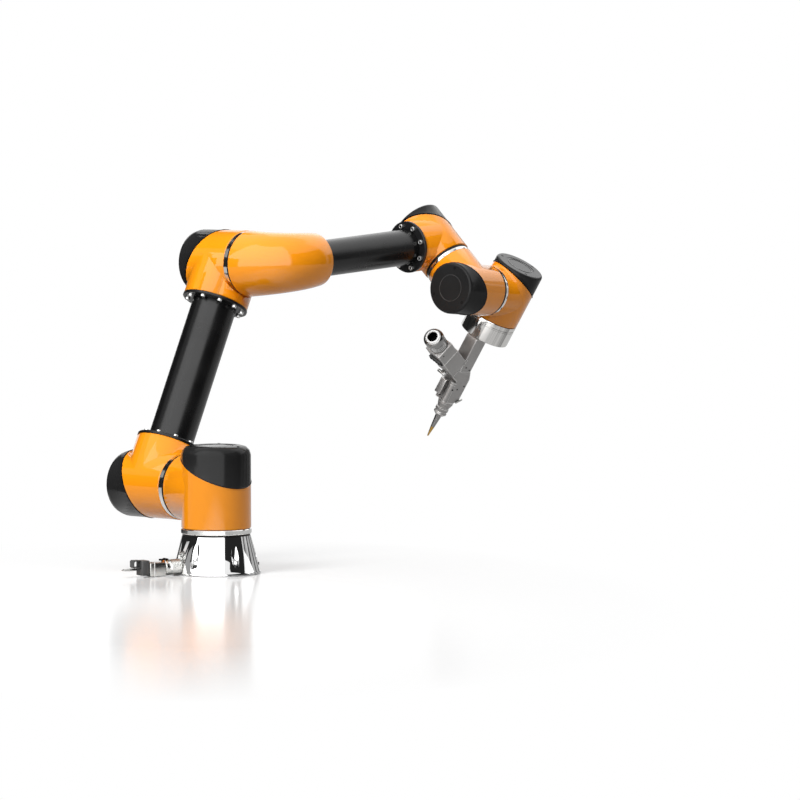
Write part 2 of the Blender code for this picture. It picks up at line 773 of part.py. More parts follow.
def build_wrist(looks, wrist, elbow, clocked):
    """The two wrist units and the tool flange. Their drums carry a slanted cap like the others."""
    upright = moved(0, 0, 0)
    wrist_1 = empty("wrist_1", elbow, clocked @ turned_by(WRIST_1_HOME_DEGREES, "Z"))
    across = turned_by(90, "Y") @ turned_by(180, "Z")
    back = Matrix(((0, 0, -1, 0), (0, -1, 0, 0), (-1, 0, 0, 0), (0, 0, 0, 1)))
    band_start = WRIST_1_FACE + SEAT_GAP + WRIST_SEAL_WIDTH + RUNNING_GAP
    band_end = band_start + WRIST_RING_WIDTH
    joint_ring(
        "wrist_1_ring",
        WRIST_DRUM_RADIUS - RING_INSET,
        band_start,
        band_end,
        looks["ring"],
        wrist_1,
        upright,
    )
    joint_housing(
        "wrist_1_housing",
        wrist,
        WRIST_2_FACE - WRIST_SEAL_WIDTH - SEAT_GAP,
        WRIST_1_OFFSET - band_end - SEAT_GAP,
        looks["orange"],
        wrist_1,
        moved(0, 0, WRIST_1_OFFSET) @ back,
    )
    joint_cap("wrist_1_cap", wrist, looks["black"], wrist_1, moved(0, 0, WRIST_1_OFFSET) @ back)
    joint_ring(
        "wrist_2_seal",
        WRIST_DRUM_RADIUS - SEAL_INSET,
        WRIST_2_FACE - WRIST_SEAL_WIDTH,
        WRIST_2_FACE,
        looks["black"],
        wrist_1,
        moved(0, 0, WRIST_1_OFFSET) @ turned_by(90, "Y"),
    )
    wrist_2 = empty(
        "wrist_2",
        wrist_1,
        moved(0, 0, WRIST_1_OFFSET) @ across @ turned_by(WRIST_2_HOME_DEGREES, "Z"),
    )
    second_start = WRIST_2_FACE + RUNNING_GAP
    second_end = second_start + WRIST_RING_WIDTH
    joint_ring(
        "wrist_2_ring",
        WRIST_DRUM_RADIUS - RING_INSET,
        second_start,
        second_end,
        looks["ring"],
        wrist_2,
        upright,
    )
    joint_housing(
        "wrist_2_housing",
        wrist,
        WRIST_3_FACE,
        WRIST_2_OFFSET - second_end - SEAT_GAP,
        looks["orange"],
        wrist_2,
        moved(0, 0, WRIST_2_OFFSET) @ back,
    )
    joint_cap("wrist_2_cap", wrist, looks["black"], wrist_2, moved(0, 0, WRIST_2_OFFSET) @ back)
    wrist_3 = empty("wrist_3", wrist_2, moved(0, 0, WRIST_2_OFFSET) @ turned_by(90, "Y"))
    flange_start = WRIST_3_FACE + RUNNING_GAP
    groove_low = flange_start + TOOL_GROOVE_PLACE
    groove_high = groove_low + TOOL_GROOVE_WIDTH
    groove_radius = TOOL_FLANGE_RADIUS - TOOL_GROOVE_DEPTH
    profile = [
        (TOOL_FLANGE_RADIUS - TOOL_FLANGE_EDGE, flange_start, 0),
        (TOOL_FLANGE_RADIUS, flange_start + TOOL_FLANGE_EDGE, 0),
        (TOOL_FLANGE_RADIUS, groove_low, 0),
        (groove_radius, groove_low, 0),
        (groove_radius, groove_high, 0),
        (TOOL_FLANGE_RADIUS, groove_high, 0),
        (TOOL_FLANGE_RADIUS, FLANGE_REACH - TOOL_FLANGE_EDGE, 0),
        (TOOL_FLANGE_RADIUS - TOOL_FLANGE_EDGE, FLANGE_REACH, 0),
    ]
    flange = turned("tool_flange", profile, LARGE_FACETS)
    finish("tool_flange", flange, looks["flange"], wrist_3, upright)
    return empty("tool_seat", wrist_3, moved(0, 0, FLANGE_REACH))


def build_head(looks, seat):
    """The laser head on its bar: tilted fibre inlet, body, side module and nozzle lance."""
    upright = moved(0, 0, 0)
    bar = block(
        "bracket_bar",
        (BAR_FRONT - BAR_DEPTH, -HEAD_SIDE, SEAT_GAP),
        (BAR_FRONT, BAR_WIDTH - HEAD_SIDE, HEAD_TOP - SEAT_GAP),
        HEAD_EDGE,
    )
    tilt = turned_by(FIBRE_TILT_DEGREES, "Y")
    half = FIBRE_BLOCK_SIDE / 2
    fibre_y = half - HEAD_SIDE
    fibre = moved(FIBRE_SEAT_X, fibre_y, FIBRE_SEAT_Z) @ tilt @ turned_by(90, "Y")
    bar_object = finish("bracket_bar", bar, looks["head"], seat, upright)
    clear = block(
        "fibre_clearance",
        (-half - SEAT_GAP, -half - OVERRUN, -SEAT_GAP),
        (half + OVERRUN, half + OVERRUN, FIBRE_BLOCK_LENGTH + FIBRE_BLOCK_SIDE),
    )
    boolean(bar_object, finish("fibre_clearance", clear, None, seat, fibre, True), "DIFFERENCE")

    seat_low_x = FIBRE_SEAT_X - half * math.sin(math.radians(FIBRE_TILT_DEGREES))
    seat_low_z = FIBRE_SEAT_Z - half * math.cos(math.radians(FIBRE_TILT_DEGREES))
    seat_high_x = FIBRE_SEAT_X + half * math.sin(math.radians(FIBRE_TILT_DEGREES))
    seat_high_z = FIBRE_SEAT_Z + half * math.cos(math.radians(FIBRE_TILT_DEGREES))
    waist = share(HEAD_BOTTOM - HEAD_TOP, 0.32)
    outline = [
        (HEAD_BACK + share(BAR_DEPTH, 0.26), HEAD_TOP),
        (HEAD_BACK, HEAD_TOP + share(BAR_DEPTH, 0.48)),
        (HEAD_BACK, HEAD_BOTTOM - share(BAR_DEPTH, 0.22)),
        (HEAD_BACK + share(BAR_DEPTH, 0.39), HEAD_BOTTOM),
        (HEAD_FRONT - share(BAR_DEPTH, 0.10), HEAD_BOTTOM),
        (HEAD_FRONT, HEAD_TOP + waist),
        (seat_high_x, seat_high_z),
        (seat_low_x, seat_low_z),
    ]
    body = extruded("head_body", outline, -HEAD_SIDE, HEAD_WIDTH - HEAD_SIDE)
    body_object = finish("head_body", body, looks["head"], seat, upright)
    room = block(
        "bar_seat",
        (BAR_FRONT - BAR_DEPTH - SEAT_GAP, -HEAD_SIDE - OVERRUN, -OVERRUN),
        (BAR_FRONT + SEAT_GAP, BAR_WIDTH - HEAD_SIDE + OVERRUN + OVERRUN, HEAD_TOP),
    )
    boolean(body_object, finish("bar_seat", room, None, seat, upright, True), "DIFFERENCE")

    inlet = block(
        "fibre_block",
        (-half, -half, SEAT_GAP),
        (half, half, FIBRE_BLOCK_LENGTH),
        FIBRE_BLOCK_EDGE,
    )
    finish("fibre_block", inlet, looks["head"], seat, fibre)
    sleeve_start = FIBRE_BLOCK_LENGTH + SEAT_GAP
    sleeve_end = sleeve_start + FIBRE_SLEEVE_LENGTH
    sleeve = block(
        "fibre_sleeve",
        (-half, -half, sleeve_start),
        (FIBRE_SLEEVE_SIDE - half, FIBRE_SLEEVE_SIDE - half, sleeve_end),
        FIBRE_BLOCK_EDGE,
    )
    finish("fibre_sleeve", sleeve, looks["head"], seat, fibre)
    nose_start = sleeve_end + SEAT_GAP
    nose_end = nose_start + FIBRE_NOSE_LENGTH
    neck_end = nose_start + share(FIBRE_NOSE_LENGTH, 0.62)
    profile = [
        (FIBRE_NECK_RADIUS, nose_start, 0),
        (FIBRE_NECK_RADIUS, neck_end, 0),
        (FIBRE_NOSE_RADIUS, neck_end + HEAD_EDGE, 0),
        (FIBRE_NOSE_RADIUS, nose_end - share(FIBRE_NOSE_CHAMFER, 1.6), 0),
        (FIBRE_NOSE_RADIUS - share(FIBRE_NOSE_CHAMFER, 0.35), nose_end - share(FIBRE_NOSE_CHAMFER, 0.5), 0),
        (FIBRE_NOSE_RADIUS - FIBRE_NOSE_CHAMFER, nose_end, 0),
        (FIBRE_BORE_RADIUS, nose_end, 0),
        (FIBRE_BORE_RADIUS, nose_start + FIBRE_BORE_FLOOR, 0),
    ]
    nose = turned("fibre_socket", profile, MEDIUM_FACETS)
    finish("fibre_socket", nose, looks["steel"], seat, fibre)

    front = HEAD_FRONT + SEAT_GAP
    column_y = share(FOCUS_RADIUS, 0.3) - HEAD_SIDE
    column_low = HEAD_BOTTOM - share(BAR_DEPTH, 0.10)
    column_high = HEAD_TOP + waist + HEAD_EDGE
    profile = [
        (FOCUS_RADIUS - HEAD_EDGE, column_high, 0),
        (FOCUS_RADIUS, column_high + HEAD_EDGE, 0),
        (FOCUS_RADIUS, column_low - HEAD_EDGE, 0),
        (FOCUS_RADIUS - HEAD_EDGE, column_low, 0),
    ]
    column = turned("focus_column", profile, SMALL_FACETS)
    finish("focus_column", column, looks["head"], seat, moved(front + FOCUS_RADIUS, column_y, 0))
    module_y = HEAD_WIDTH - HEAD_SIDE - SIDE_MODULE_WIDTH
    module = block(
        "side_module",
        (front, module_y, SIDE_MODULE_PLACE),
        (front + SIDE_MODULE_DEPTH, module_y + SIDE_MODULE_WIDTH, SIDE_MODULE_PLACE + SIDE_MODULE_LENGTH),
        HEAD_EDGE,
    )
    finish("side_module", module, looks["dark"], seat, upright)

    nozzle_y = HEAD_WIDTH / 2 - HEAD_SIDE
    nozzle = moved(NOZZLE_X, nozzle_y, 0)
    start = HEAD_BOTTOM + SEAT_GAP
    end = start + NOZZLE_SEAT_LENGTH
    profile = [
        (NOZZLE_SEAT_TOP_RADIUS, start, 0),
        (NOZZLE_SEAT_TOP_RADIUS, start + share(NOZZLE_SEAT_LENGTH, 0.35), 0),
        (COLLAR_RADIUS - COLLAR_GROOVE, end, 0),
    ]
    finish("nozzle_seat", turned("nozzle_seat", profile, MEDIUM_FACETS), looks["head"], seat, nozzle)
    start = end + SEAT_GAP
    end = start + COLLAR_LENGTH
    profile = [
        (COLLAR_RADIUS - COLLAR_GROOVE, start, 0),
        (COLLAR_RADIUS, start + COLLAR_GROOVE, 0),
        (COLLAR_RADIUS, start + share(COLLAR_LENGTH, 0.35), 0),
        (COLLAR_RADIUS - COLLAR_GROOVE, start + share(COLLAR_LENGTH, 0.42), 0),
        (COLLAR_RADIUS - COLLAR_GROOVE, start + share(COLLAR_LENGTH, 0.52), 0),
        (COLLAR_RADIUS, start + share(COLLAR_LENGTH, 0.60), 0),
        (COLLAR_RADIUS, end - share(COLLAR_LENGTH, 0.25), 0),
        (LANCE_TOP_RADIUS + COLLAR_GROOVE, end, 0),
    ]
    collar = turned("nozzle_collar", profile, MEDIUM_FACETS)
    finish("nozzle_collar", collar, looks["steel"], seat, nozzle)
    start = end + SEAT_GAP
    end = start + LANCE_LENGTH
    profile = [(LANCE_TOP_RADIUS, start, 0), (LANCE_END_RADIUS, end, 0)]
    finish("nozzle_lance", turned("nozzle_lance", profile, SMALL_FACETS), looks["steel"], seat, nozzle)
    start = end + SEAT_GAP
    profile = [(LANCE_END_RADIUS, start, 0), (TIP_RADIUS, start + TIP_LENGTH, 0)]
    finish("nozzle_tip", turned("nozzle_tip", profile, SMALL_FACETS), looks["brass"], seat, nozzle)

    lever_x = HEAD_BACK + share(LEVER_WIDTH, 0.2)
    lever_y = -HEAD_SIDE - SEAT_GAP - LEVER_THICKNESS / 2
    lever_z = HEAD_BOTTOM - share(BAR_DEPTH, 0.22)
    lever = block(
        "cover_lever",
        (-LEVER_LENGTH / 2, -LEVER_THICKNESS / 2, -LEVER_WIDTH / 2),
        (LEVER_LENGTH / 2, LEVER_THICKNESS / 2, LEVER_WIDTH / 2),
    )
    lever_frame = moved(lever_x, lever_y, lever_z) @ turned_by(LEVER_TILT_DEGREES, "Y")
    finish("cover_lever", lever, looks["steel"], seat, lever_frame)
    face = half + SEAT_GAP
    plate_low = sleeve_start + HEAD_EDGE
    plate = block(
        "fitting_plate",
        (-face - PLATE_THICKNESS, -share(PLATE_LENGTH, 0.53), plate_low),
        (-face, share(PLATE_LENGTH, 0.47), plate_low + PLATE_WIDTH),
    )
    finish("fitting_plate", plate, looks["steel"], seat, fibre)
    profile = [(FITTING_RADIUS, 0, 0), (FITTING_RADIUS, FITTING_LENGTH, 0)]
    fitting = turned("gas_fitting", profile, SMALL_FACETS)
    fitting_x = -face - FITTING_STAND - FITTING_RADIUS
    fitting_frame = fibre @ moved(fitting_x, -share(FITTING_LENGTH, 0.35), FITTING_PLACE)
    made = finish("gas_fitting", fitting, looks["steel"], seat, fitting_frame @ turned_by(-90, "X"))
    foot_half = share(FITTING_RADIUS, 0.7)
    foot = block(
        "gas_fitting_foot",
        (fitting_x, -FITTING_FOOT_LENGTH / 2, FITTING_PLACE - foot_half),
        (-face, FITTING_FOOT_LENGTH / 2, FITTING_PLACE + foot_half),
    )
    boolean(made, finish("gas_fitting_foot", foot, None, seat, fibre, True), "UNION")


def main():
    clear_scene()
    looks = {
        "orange": material("orange_paint", (0.93, 0.33, 0.04), 0.28, 0.0),
        "black": material("black_cap", (0.018, 0.018, 0.019), 0.38, 0.0),
        "tube": material("black_tube", (0.014, 0.014, 0.015), 0.45, 0.2),
        "ring": material("polished_ring", (0.80, 0.80, 0.78), 0.18, 1.0),
        "chrome": material("chrome", (0.82, 0.82, 0.82), 0.06, 1.0),
        "flange": material("flange_metal", (0.62, 0.62, 0.60), 0.22, 1.0),
        "head": material("head_aluminium", (0.25, 0.24, 0.23), 0.42, 0.6),
        "steel": material("steel", (0.45, 0.45, 0.44), 0.30, 1.0),
        "dark": material("dark_metal", (0.07, 0.07, 0.07), 0.42, 0.5),
        "brass": material("brass", (0.70, 0.46, 0.14), 0.25, 1.0),
    }
    arm = {
        "radius": LINK_DRUM_RADIUS,
        "stub": LINK_DRUM_RADIUS - STUB_INSET,
        "cap_centre": ARM_CAP_CENTRE,
        "slope": ARM_CAP_SLOPE,
        "cap_top": ARM_CAP_TOP,
        "fillet": ARM_CAP_FILLET,
    }
    column_unit = dict(arm, radius=COLUMN_DRUM_RADIUS)
    wrist = {
        "radius": WRIST_DRUM_RADIUS,
        "stub": WRIST_DRUM_RADIUS - STUB_INSET,
        "cap_centre": WRIST_CAP_CENTRE,
        "slope": WRIST_CAP_SLOPE,
        "cap_top": WRIST_CAP_TOP,
        "fillet": WRIST_CAP_FILLET,
    }
    build_base(looks)
    elbow, clocked = build_arm(looks, column_unit, arm, wrist)
    seat = build_wrist(looks, wrist, elbow, clocked)
    build_head(looks, seat)
    bpy.context.view_layer.update()


main()
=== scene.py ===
"""Looks of a six-axis robot arm with a laser welding head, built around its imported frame. Metres, +Z up."""

import json
import math

import bmesh
import bpy
from mathutils import Matrix, Vector


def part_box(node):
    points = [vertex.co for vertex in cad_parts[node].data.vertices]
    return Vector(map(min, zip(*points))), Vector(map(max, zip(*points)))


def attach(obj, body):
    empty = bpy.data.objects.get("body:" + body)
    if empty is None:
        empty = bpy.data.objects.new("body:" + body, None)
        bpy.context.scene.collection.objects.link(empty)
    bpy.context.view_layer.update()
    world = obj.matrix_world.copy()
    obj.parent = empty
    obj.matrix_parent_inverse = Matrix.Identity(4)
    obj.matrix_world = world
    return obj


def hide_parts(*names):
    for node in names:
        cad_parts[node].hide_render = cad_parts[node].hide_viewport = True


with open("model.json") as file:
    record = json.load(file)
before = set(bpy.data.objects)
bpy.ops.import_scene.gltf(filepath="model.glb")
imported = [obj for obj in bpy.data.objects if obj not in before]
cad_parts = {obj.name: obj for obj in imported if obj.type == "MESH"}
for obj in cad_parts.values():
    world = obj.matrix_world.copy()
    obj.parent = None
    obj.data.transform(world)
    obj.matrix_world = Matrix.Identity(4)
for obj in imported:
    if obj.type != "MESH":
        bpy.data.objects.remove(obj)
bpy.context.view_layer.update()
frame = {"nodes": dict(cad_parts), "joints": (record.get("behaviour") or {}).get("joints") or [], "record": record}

NODES = frame["nodes"]
JOINTS = {joint["name"]: joint for joint in frame["joints"]}
BODY_OF = {
    node: body for body, nodes in frame["record"]["behaviour"]["bodies"].items() for node in nodes
}

# The photograph's camera, in the part's own frame.
CAMERA_PLACE = (-6.2249, -6.4944, 0.8399)
CAMERA_AZIMUTH_DEGREES = 45.7406
CAMERA_DROP_DEGREES = 3.5151
CAMERA_ROLL_DEGREES = -0.1589
CAMERA_LENS = 243.5266
SENSOR_WIDTH = 36.0
CLIP_END = 60.0

# The studio. Bearings of cards and lamps count from the direction of the camera, seen from the part.
CAMERA_BEARING_DEGREES = 225.9
LAMP_DISTANCE = 2.9
LAMP_TARGET = (0.30, 0.10, 0.35)
CARD_DISTANCE = 3.4
STRIP_DISTANCE = 3.3
CARD_STEPS = 8
FLOOR_CARD_HEIGHT = 0.002
WORLD_DIFFUSE = 0.32
FLAG_GLOW = 0.02

# The floor: its tone, its darker bounce, and the patch round the part where it isn't yet pure white.
FLOOR_HEIGHT = -0.0006
FLOOR_HALF_WIDTH = 30.0
FLOOR_TONE = (0.80, 0.80, 0.80)
FLOOR_BOUNCE = (0.30, 0.30, 0.30)
FLOOR_PATCH_PLACE = (-0.42, -0.42, 0.0)
FLOOR_PATCH_SIZE = (1.25, 0.75, 1.0)
FLOOR_FADE_START = 0.45
FLOOR_MIRRORED = 0.58

# Limits that the meshes share: in metres, as angles, and as cosines.
WELD_DISTANCE = 1e-5
EDGE_SOFTNESS = 0.0004
SMALL_EDGE = 0.0003
RIM_SHADE_WIDTH = 0.0013
FLAT_LIMIT = math.radians(0.4)
SHARP_LIMIT = math.radians(32)
LEVEL = 0.9995
ROUND_SWING = 0.09
NEARLY_ALONG = 0.999
SLANTED = (0.2, 0.97)

# Where the frames of the tool, the fibre inlet and the plug stand.
TOOL_FRAME_HEIGHT = 0.0876
FIBRE_PLACE = (0.0505, -0.0030, 0.0616)
FIBRE_TILT_DEGREES = 118
PLUG_BEARING_DEGREES = 164


class Axis:
    """A line with a place and a direction, and a side direction square to it."""

    def __init__(self, place, direction, side=None):
        self.place = Vector(place)
        self.direction = Vector(direction).normalized()
        side = Vector(side) if side is not None else self.direction.orthogonal()
        side -= self.direction * side.dot(self.direction)
        self.side = side.normalized()

    def height(self, point):
        return (Vector(point) - self.place).dot(self.direction)

    def radial(self, point):
        out = Vector(point) - self.place
        return out - self.direction * out.dot(self.direction)

    def reach(self, node):
        """(lowest, highest, widest) of a node along and round this axis."""
        heights = [self.height(vert.co) for vert in NODES[node].data.vertices]
        widest = max(self.radial(vert.co).length for vert in NODES[node].data.vertices)
        return min(heights), max(heights), widest

    def matrix(self, height=0.0, turn_degrees=0.0):
        """A frame on the axis: Z along it and X to its side, at a height and turned about it."""
        across = self.direction.cross(self.side)
        made = Matrix((self.side, across, self.direction)).transposed().to_4x4()
        made.translation = self.place + self.direction * height
        return made @ Matrix.Rotation(math.radians(turn_degrees), 4, "Z")

    def reversed(self):
        return Axis(self.place, -self.direction, self.side)


def joint_axis(name, side=None):
    joint = JOINTS[name]
    return Axis(joint["pos_m"], joint["axis"], side)


def node_middle(node):
    low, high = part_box(node)
    return (low + high) / 2


# Materials


class Shader:
    """A Principled material that is put together node by node."""

    def __init__(self, name, colour, roughness, metallic=0.0, coat=0.0, coat_roughness=0.05, specular=0.5):
        self.material = bpy.data.materials.new(name)
        self.material.use_nodes = True
        self.tree = self.material.node_tree
        self.base = self.tree.nodes["Principled BSDF"]
        self.base.inputs["Base Color"].default_value = (*colour, 1.0)
        self.base.inputs["Roughness"].default_value = roughness
        self.base.inputs["Metallic"].default_value = metallic
        self.base.inputs["Coat Weight"].default_value = coat
        self.base.inputs["Coat Roughness"].default_value = coat_roughness
        self.base.inputs["Specular IOR Level"].default_value = specular
        self.place = self.add("ShaderNodeTexCoord").outputs["Object"]

    def add(self, kind, **values):
        node = self.tree.nodes.new(kind)
        for key, value in values.items():
            setattr(node, key, value)
        return node

    def link(self, source, target):
        self.tree.links.new(source, target)

    def noise(self, scale, detail=2.0, stretch=None):
        """Noise over the piece's place, in cells a metre, stretched along an axis if asked."""
        place = self.place
        if stretch is not None:
            mapping = self.add("ShaderNodeMapping")
            mapping.inputs["Scale"].default_value = stretch
            self.link(place, mapping.inputs["Vector"])
            place = mapping.outputs["Vector"]
        node = self.add("ShaderNodeTexNoise")
        node.inputs["Scale"].default_value = scale
        node.inputs["Detail"].default_value = detail
        self.link(place, node.inputs["Vector"])
        return node.outputs["Fac"]

    def spread(self, source, low, high, start=0.3, end=0.7):
        """A value that runs from low to high as the source runs from start to end."""
        node = self.add("ShaderNodeMapRange")
        node.inputs["From Min"].default_value = start
        node.inputs["From Max"].default_value = end
        node.inputs["To Min"].default_value = low
        node.inputs["To Max"].default_value = high
        self.link(source, node.inputs["Value"])
        return node.outputs["Result"]

    def mix(self, factor, first, second):
        """A colour between two colours, each given as a colour or as a socket."""
        node = self.add("ShaderNodeMix", data_type="RGBA")
        self.link(factor, node.inputs["Factor"])
        for socket, value in ((node.inputs[6], first), (node.inputs[7], second)):
            if isinstance(value, tuple):
                socket.default_value = (*value, 1.0)
            else:
                self.link(value, socket)
        return node.outputs[2]

    def colour(self, source):
        self.link(source, self.base.inputs["Base Color"])

    def roughness(self, source):
        self.link(source, self.base.inputs["Roughness"])

    def bump(self, source, strength, distance):
        node = self.add("ShaderNodeBump")
        node.inputs["Strength"].default_value = strength
        node.inputs["Distance"].default_value = distance
        self.link(source, node.inputs["Height"])
        self.link(node.outputs["Normal"], self.base.inputs["Normal"])

    def edges(self, radius, sharp=0.80, flat=0.985):
        """1 on the outer edges within this distance, and 0 on the open faces."""
        soft = self.add("ShaderNodeBevel", samples=4)
        soft.inputs["Radius"].default_value = radius
        geometry = self.add("ShaderNodeNewGeometry")
        dot = self.add("ShaderNodeVectorMath", operation="DOT_PRODUCT")
        self.link(soft.outputs["Normal"], dot.inputs[0])
        self.link(geometry.outputs["Normal"], dot.inputs[1])
        return self.spread(dot.outputs["Value"], 1.0, 0.0, sharp, flat)


def paint(name, colour, pale):
    """Glossy stove enamel: faint orange peel, a little uneven, thinner and paler on its edges."""
    made = Shader(name, colour, 0.34, coat=1.0, coat_roughness=0.02, specular=0.06)
    deep = tuple(part * 0.93 for part in colour)
    body = made.mix(made.spread(made.noise(9.0, 3.0), 0.0, 1.0), deep, colour)
    made.colour(made.mix(made.spread(made.edges(0.0009), 0.0, 0.30, 0.0, 1.0), body, pale))
    made.roughness(made.spread(made.noise(26.0, 4.0), 0.28, 0.40))
    made.bump(made.noise(850.0, 2.0), 0.02, 0.0004)
    return made.material


def moulded(name, colour, roughness, grain=1500.0, specular=0.28):
    """Moulded plastic with a fine spark-eroded grain and dull patches from handling."""
    made = Shader(name, colour, roughness, specular=specular)
    pale = tuple(part * 1.6 + 0.003 for part in colour)
    body = made.mix(made.spread(made.noise(14.0, 4.0), 0.0, 0.5), colour, pale)
    made.colour(made.mix(made.spread(made.edges(0.0009), 0.0, 0.5, 0.0, 1.0), body, pale))
    made.roughness(made.spread(made.noise(24.0, 2.0), roughness - 0.04, roughness + 0.05))
    made.bump(made.noise(grain, 2.0), 0.008, 0.0001)
    return made.material


def metal(name, colour, roughness, swing=0.05, grain=(1.0, 1.0, 1.0), depth=0.05):
    """Bare metal with a fine grain, stretched along one way if asked, and uneven polish."""
    made = Shader(name, colour, roughness, metallic=1.0)
    dull = tuple(part * 0.84 for part in colour)
    made.colour(made.mix(made.spread(made.noise(30.0, 4.0), 0.0, 1.0), dull, colour))
    made.roughness(made.spread(made.noise(55.0, 5.0), max(roughness - swing, 0.02), roughness + swing))
    made.bump(made.noise(620.0, 2.0, grain), depth, 0.0003)
    return made.material


def turned(name, colour, roughness, pose):
    """Bright turned metal that mirrors its room, with painted reflection in its colour: narrow darker streaks
    along the axis of a pose.
    """
    made = Shader(name, colour, roughness, metallic=1.0)
    around = made.add("ShaderNodeMapping", vector_type="TEXTURE")
    around.inputs["Location"].default_value = pose.translation
    around.inputs["Rotation"].default_value = pose.to_euler()
    around.inputs["Scale"].default_value = (1.0, 1.0, 60.0)
    made.link(made.place, around.inputs["Vector"])
    streaks = made.add("ShaderNodeTexNoise")
    streaks.inputs["Scale"].default_value = 150.0
    streaks.inputs["Detail"].default_value = 3.0
    made.link(around.outputs["Vector"], streaks.inputs["Vector"])
    # Painted reflection: the colour is darkened in the streaks to stand for dark things that the flange mirrors.
    dull = tuple(part * 0.52 for part in colour)
    made.colour(made.mix(made.spread(streaks.outputs["Fac"], 0.0, 1.0, 0.36, 0.52), dull, colour))
    made.roughness(made.spread(streaks.outputs["Fac"], roughness + 0.05, roughness - 0.04))
    made.bump(streaks.outputs["Fac"], 0.12, 0.0004)
    return made.material


def anodised(name, colour, roughness):
    """Blasted and anodised aluminium: a satin skin with fine speckle, and a painted highlight along its edges."""
    made = Shader(name, colour, roughness, metallic=0.55)
    painted_edge_highlight = (0.95, 0.94, 0.92)
    deep = tuple(part * 0.8 for part in colour)
    speckled = made.mix(made.spread(made.noise(420.0, 3.0), 0.0, 0.6), colour, deep)
    # Painted highlight: the colour runs towards near white on the edges.
    made.colour(made.mix(made.spread(made.edges(0.0026, 0.93, 0.995), 0.0, 1.0, 0.0, 0.8), speckled, painted_edge_highlight))
    made.roughness(made.spread(made.noise(60.0, 4.0), roughness - 0.06, roughness + 0.07))
    made.bump(made.noise(1800.0, 2.0), 0.10, 0.0002)
    return made.material


def build_looks():
    return {
        "orange": paint("orange_enamel", (0.96, 0.315, 0.004), (1.0, 0.42, 0.05)),
        "black": moulded("cap_plastic", (0.0150, 0.0150, 0.0152), 0.16, specular=0.14),
        "tube": moulded("tube_black", (0.0040, 0.0040, 0.0042), 0.24, 900.0, 0.39),
        "flange_black": moulded("flange_black", (0.006, 0.006, 0.0065), 0.30, 1100.0),
        "seal": moulded("seal_rubber", (0.005, 0.005, 0.005), 0.40, 900.0, 0.2),
        # The bead is lighter than the cap as a painted highlight; its gloss is real.
        "bead": moulded("cap_bead", (0.035, 0.035, 0.035), 0.16, 900.0, 1.0),
        "ring": metal("polished_ring", (0.88, 0.88, 0.86), 0.10, 0.03, depth=0.02),
        "chrome": metal("pedestal_chrome", (0.94, 0.94, 0.94), 0.035, 0.010, depth=0.002),
        "flange": turned("flange_metal", (0.78, 0.77, 0.75), 0.13, tool_pose()),
        "head": anodised("head_anodised", (0.420, 0.409, 0.400), 0.38),
        "steel": metal("bright_steel", (0.60, 0.60, 0.58), 0.20, 0.05),
        "gunmetal": metal("dark_steel", (0.34, 0.335, 0.33), 0.24, 0.05),
        "screw": metal("screw_steel", (0.90, 0.90, 0.89), 0.32, 0.05),
        "face": metal("polished_face", (0.92, 0.92, 0.91), 0.40, 0.03),
        "dark": moulded("dark_metal", (0.060, 0.060, 0.060), 0.40, 700.0, 0.5),
        # Near black and matte. In holes, recesses, slots and the gap round each cap it is painted shade.
        "hole": moulded("socket_dark", (0.002, 0.002, 0.002), 0.60, specular=0.04),
        "tag": moulded("orange_tag", (0.80, 0.20, 0.01), 0.40),
        "brass": metal("tip_brass", (0.62, 0.38, 0.10), 0.16, 0.04),
    }


# Meshes


def add_piece(name, work, look, body, second=None):
    """Make the piece of a bmesh that is in the row frame, and let it ride on its body."""
    mesh = bpy.data.meshes.new(name)
    work.to_mesh(mesh)
    work.free()
    piece = bpy.data.objects.new(name, mesh)
    bpy.context.scene.collection.objects.link(piece)
    mesh.materials.append(look)
    if second is not None:
        mesh.materials.append(second)
    mesh.shade_smooth()
    mesh.set_sharp_from_angle(angle=SHARP_LIMIT)
    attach(piece, body)
    return piece


def round_normals(piece, axes):
    """Shade each face that is turned about one of the axes as if it were truly round.

    Faces square to an axis get their own flat normals, so that a cap's top mirrors evenly.
    """
    mesh = piece.data
    normals = [Vector(corner.vector) for corner in mesh.corner_normals]
    for face in mesh.polygons:
        best = None
        for axis in axes:
            out = axis.radial(face.center)
            if out.length < WELD_DISTANCE:
                continue
            swing = abs(face.normal.dot(axis.direction.cross(out).normalized()))
            if best is None or swing < best[0]:
                best = (swing, axis)
        if best is None or best[0] > ROUND_SWING or abs(face.normal.dot(best[1].direction)) > LEVEL:
            continue
        axis = best[1]
        for loop in face.loop_indices:
            out = axis.radial(mesh.vertices[mesh.loops[loop].vertex_index].co)
            along = max(-1.0, min(1.0, normals[loop].dot(axis.direction)))
            if out.length > WELD_DISTANCE and abs(along) < NEARLY_ALONG:
                sign = 1.0 if normals[loop].dot(out) >= 0 else -1.0
                across = sign * math.sqrt(1 - along * along)
                normals[loop] = out.normalized() * across + axis.direction * along
    level = {}
    for face in mesh.polygons:
        if any(abs(face.normal.dot(axis.direction)) > LEVEL for axis in axes):
            for loop in face.loop_indices:
                normals[loop] = face.normal.copy()
                level[mesh.loops[loop].vertex_index] = normals[loop]
    for loop in mesh.loops:
        flat = level.get(loop.vertex_index)
        if flat is not None and normals[loop.index].angle(flat, 0) < SHARP_LIMIT:
            normals[loop.index] = flat
    mesh.normals_split_custom_set(normals)


def part_line(work, axis, width):
    """Give the rim of a cap, where its slanted foot meets the housing, the second material: a near-black band of
    painted shade for the gap between them.
    """
    low, high = SLANTED
    slanted = [face for face in work.faces if low < abs(face.normal.dot(axis.direction)) < high]
    foot = max(slanted, key=lambda face: face.calc_area())
    normal = foot.normal.copy()
    place = foot.calc_center_median() - normal * width
    geometry = list(work.verts) + list(work.edges) + list(work.faces)
    bmesh.ops.bisect_plane(work, geom=geometry, plane_co=place, plane_no=normal)
    for face in work.faces:
        if (face.calc_center_median() - place).dot(normal) > 0:
            face.material_index = 1


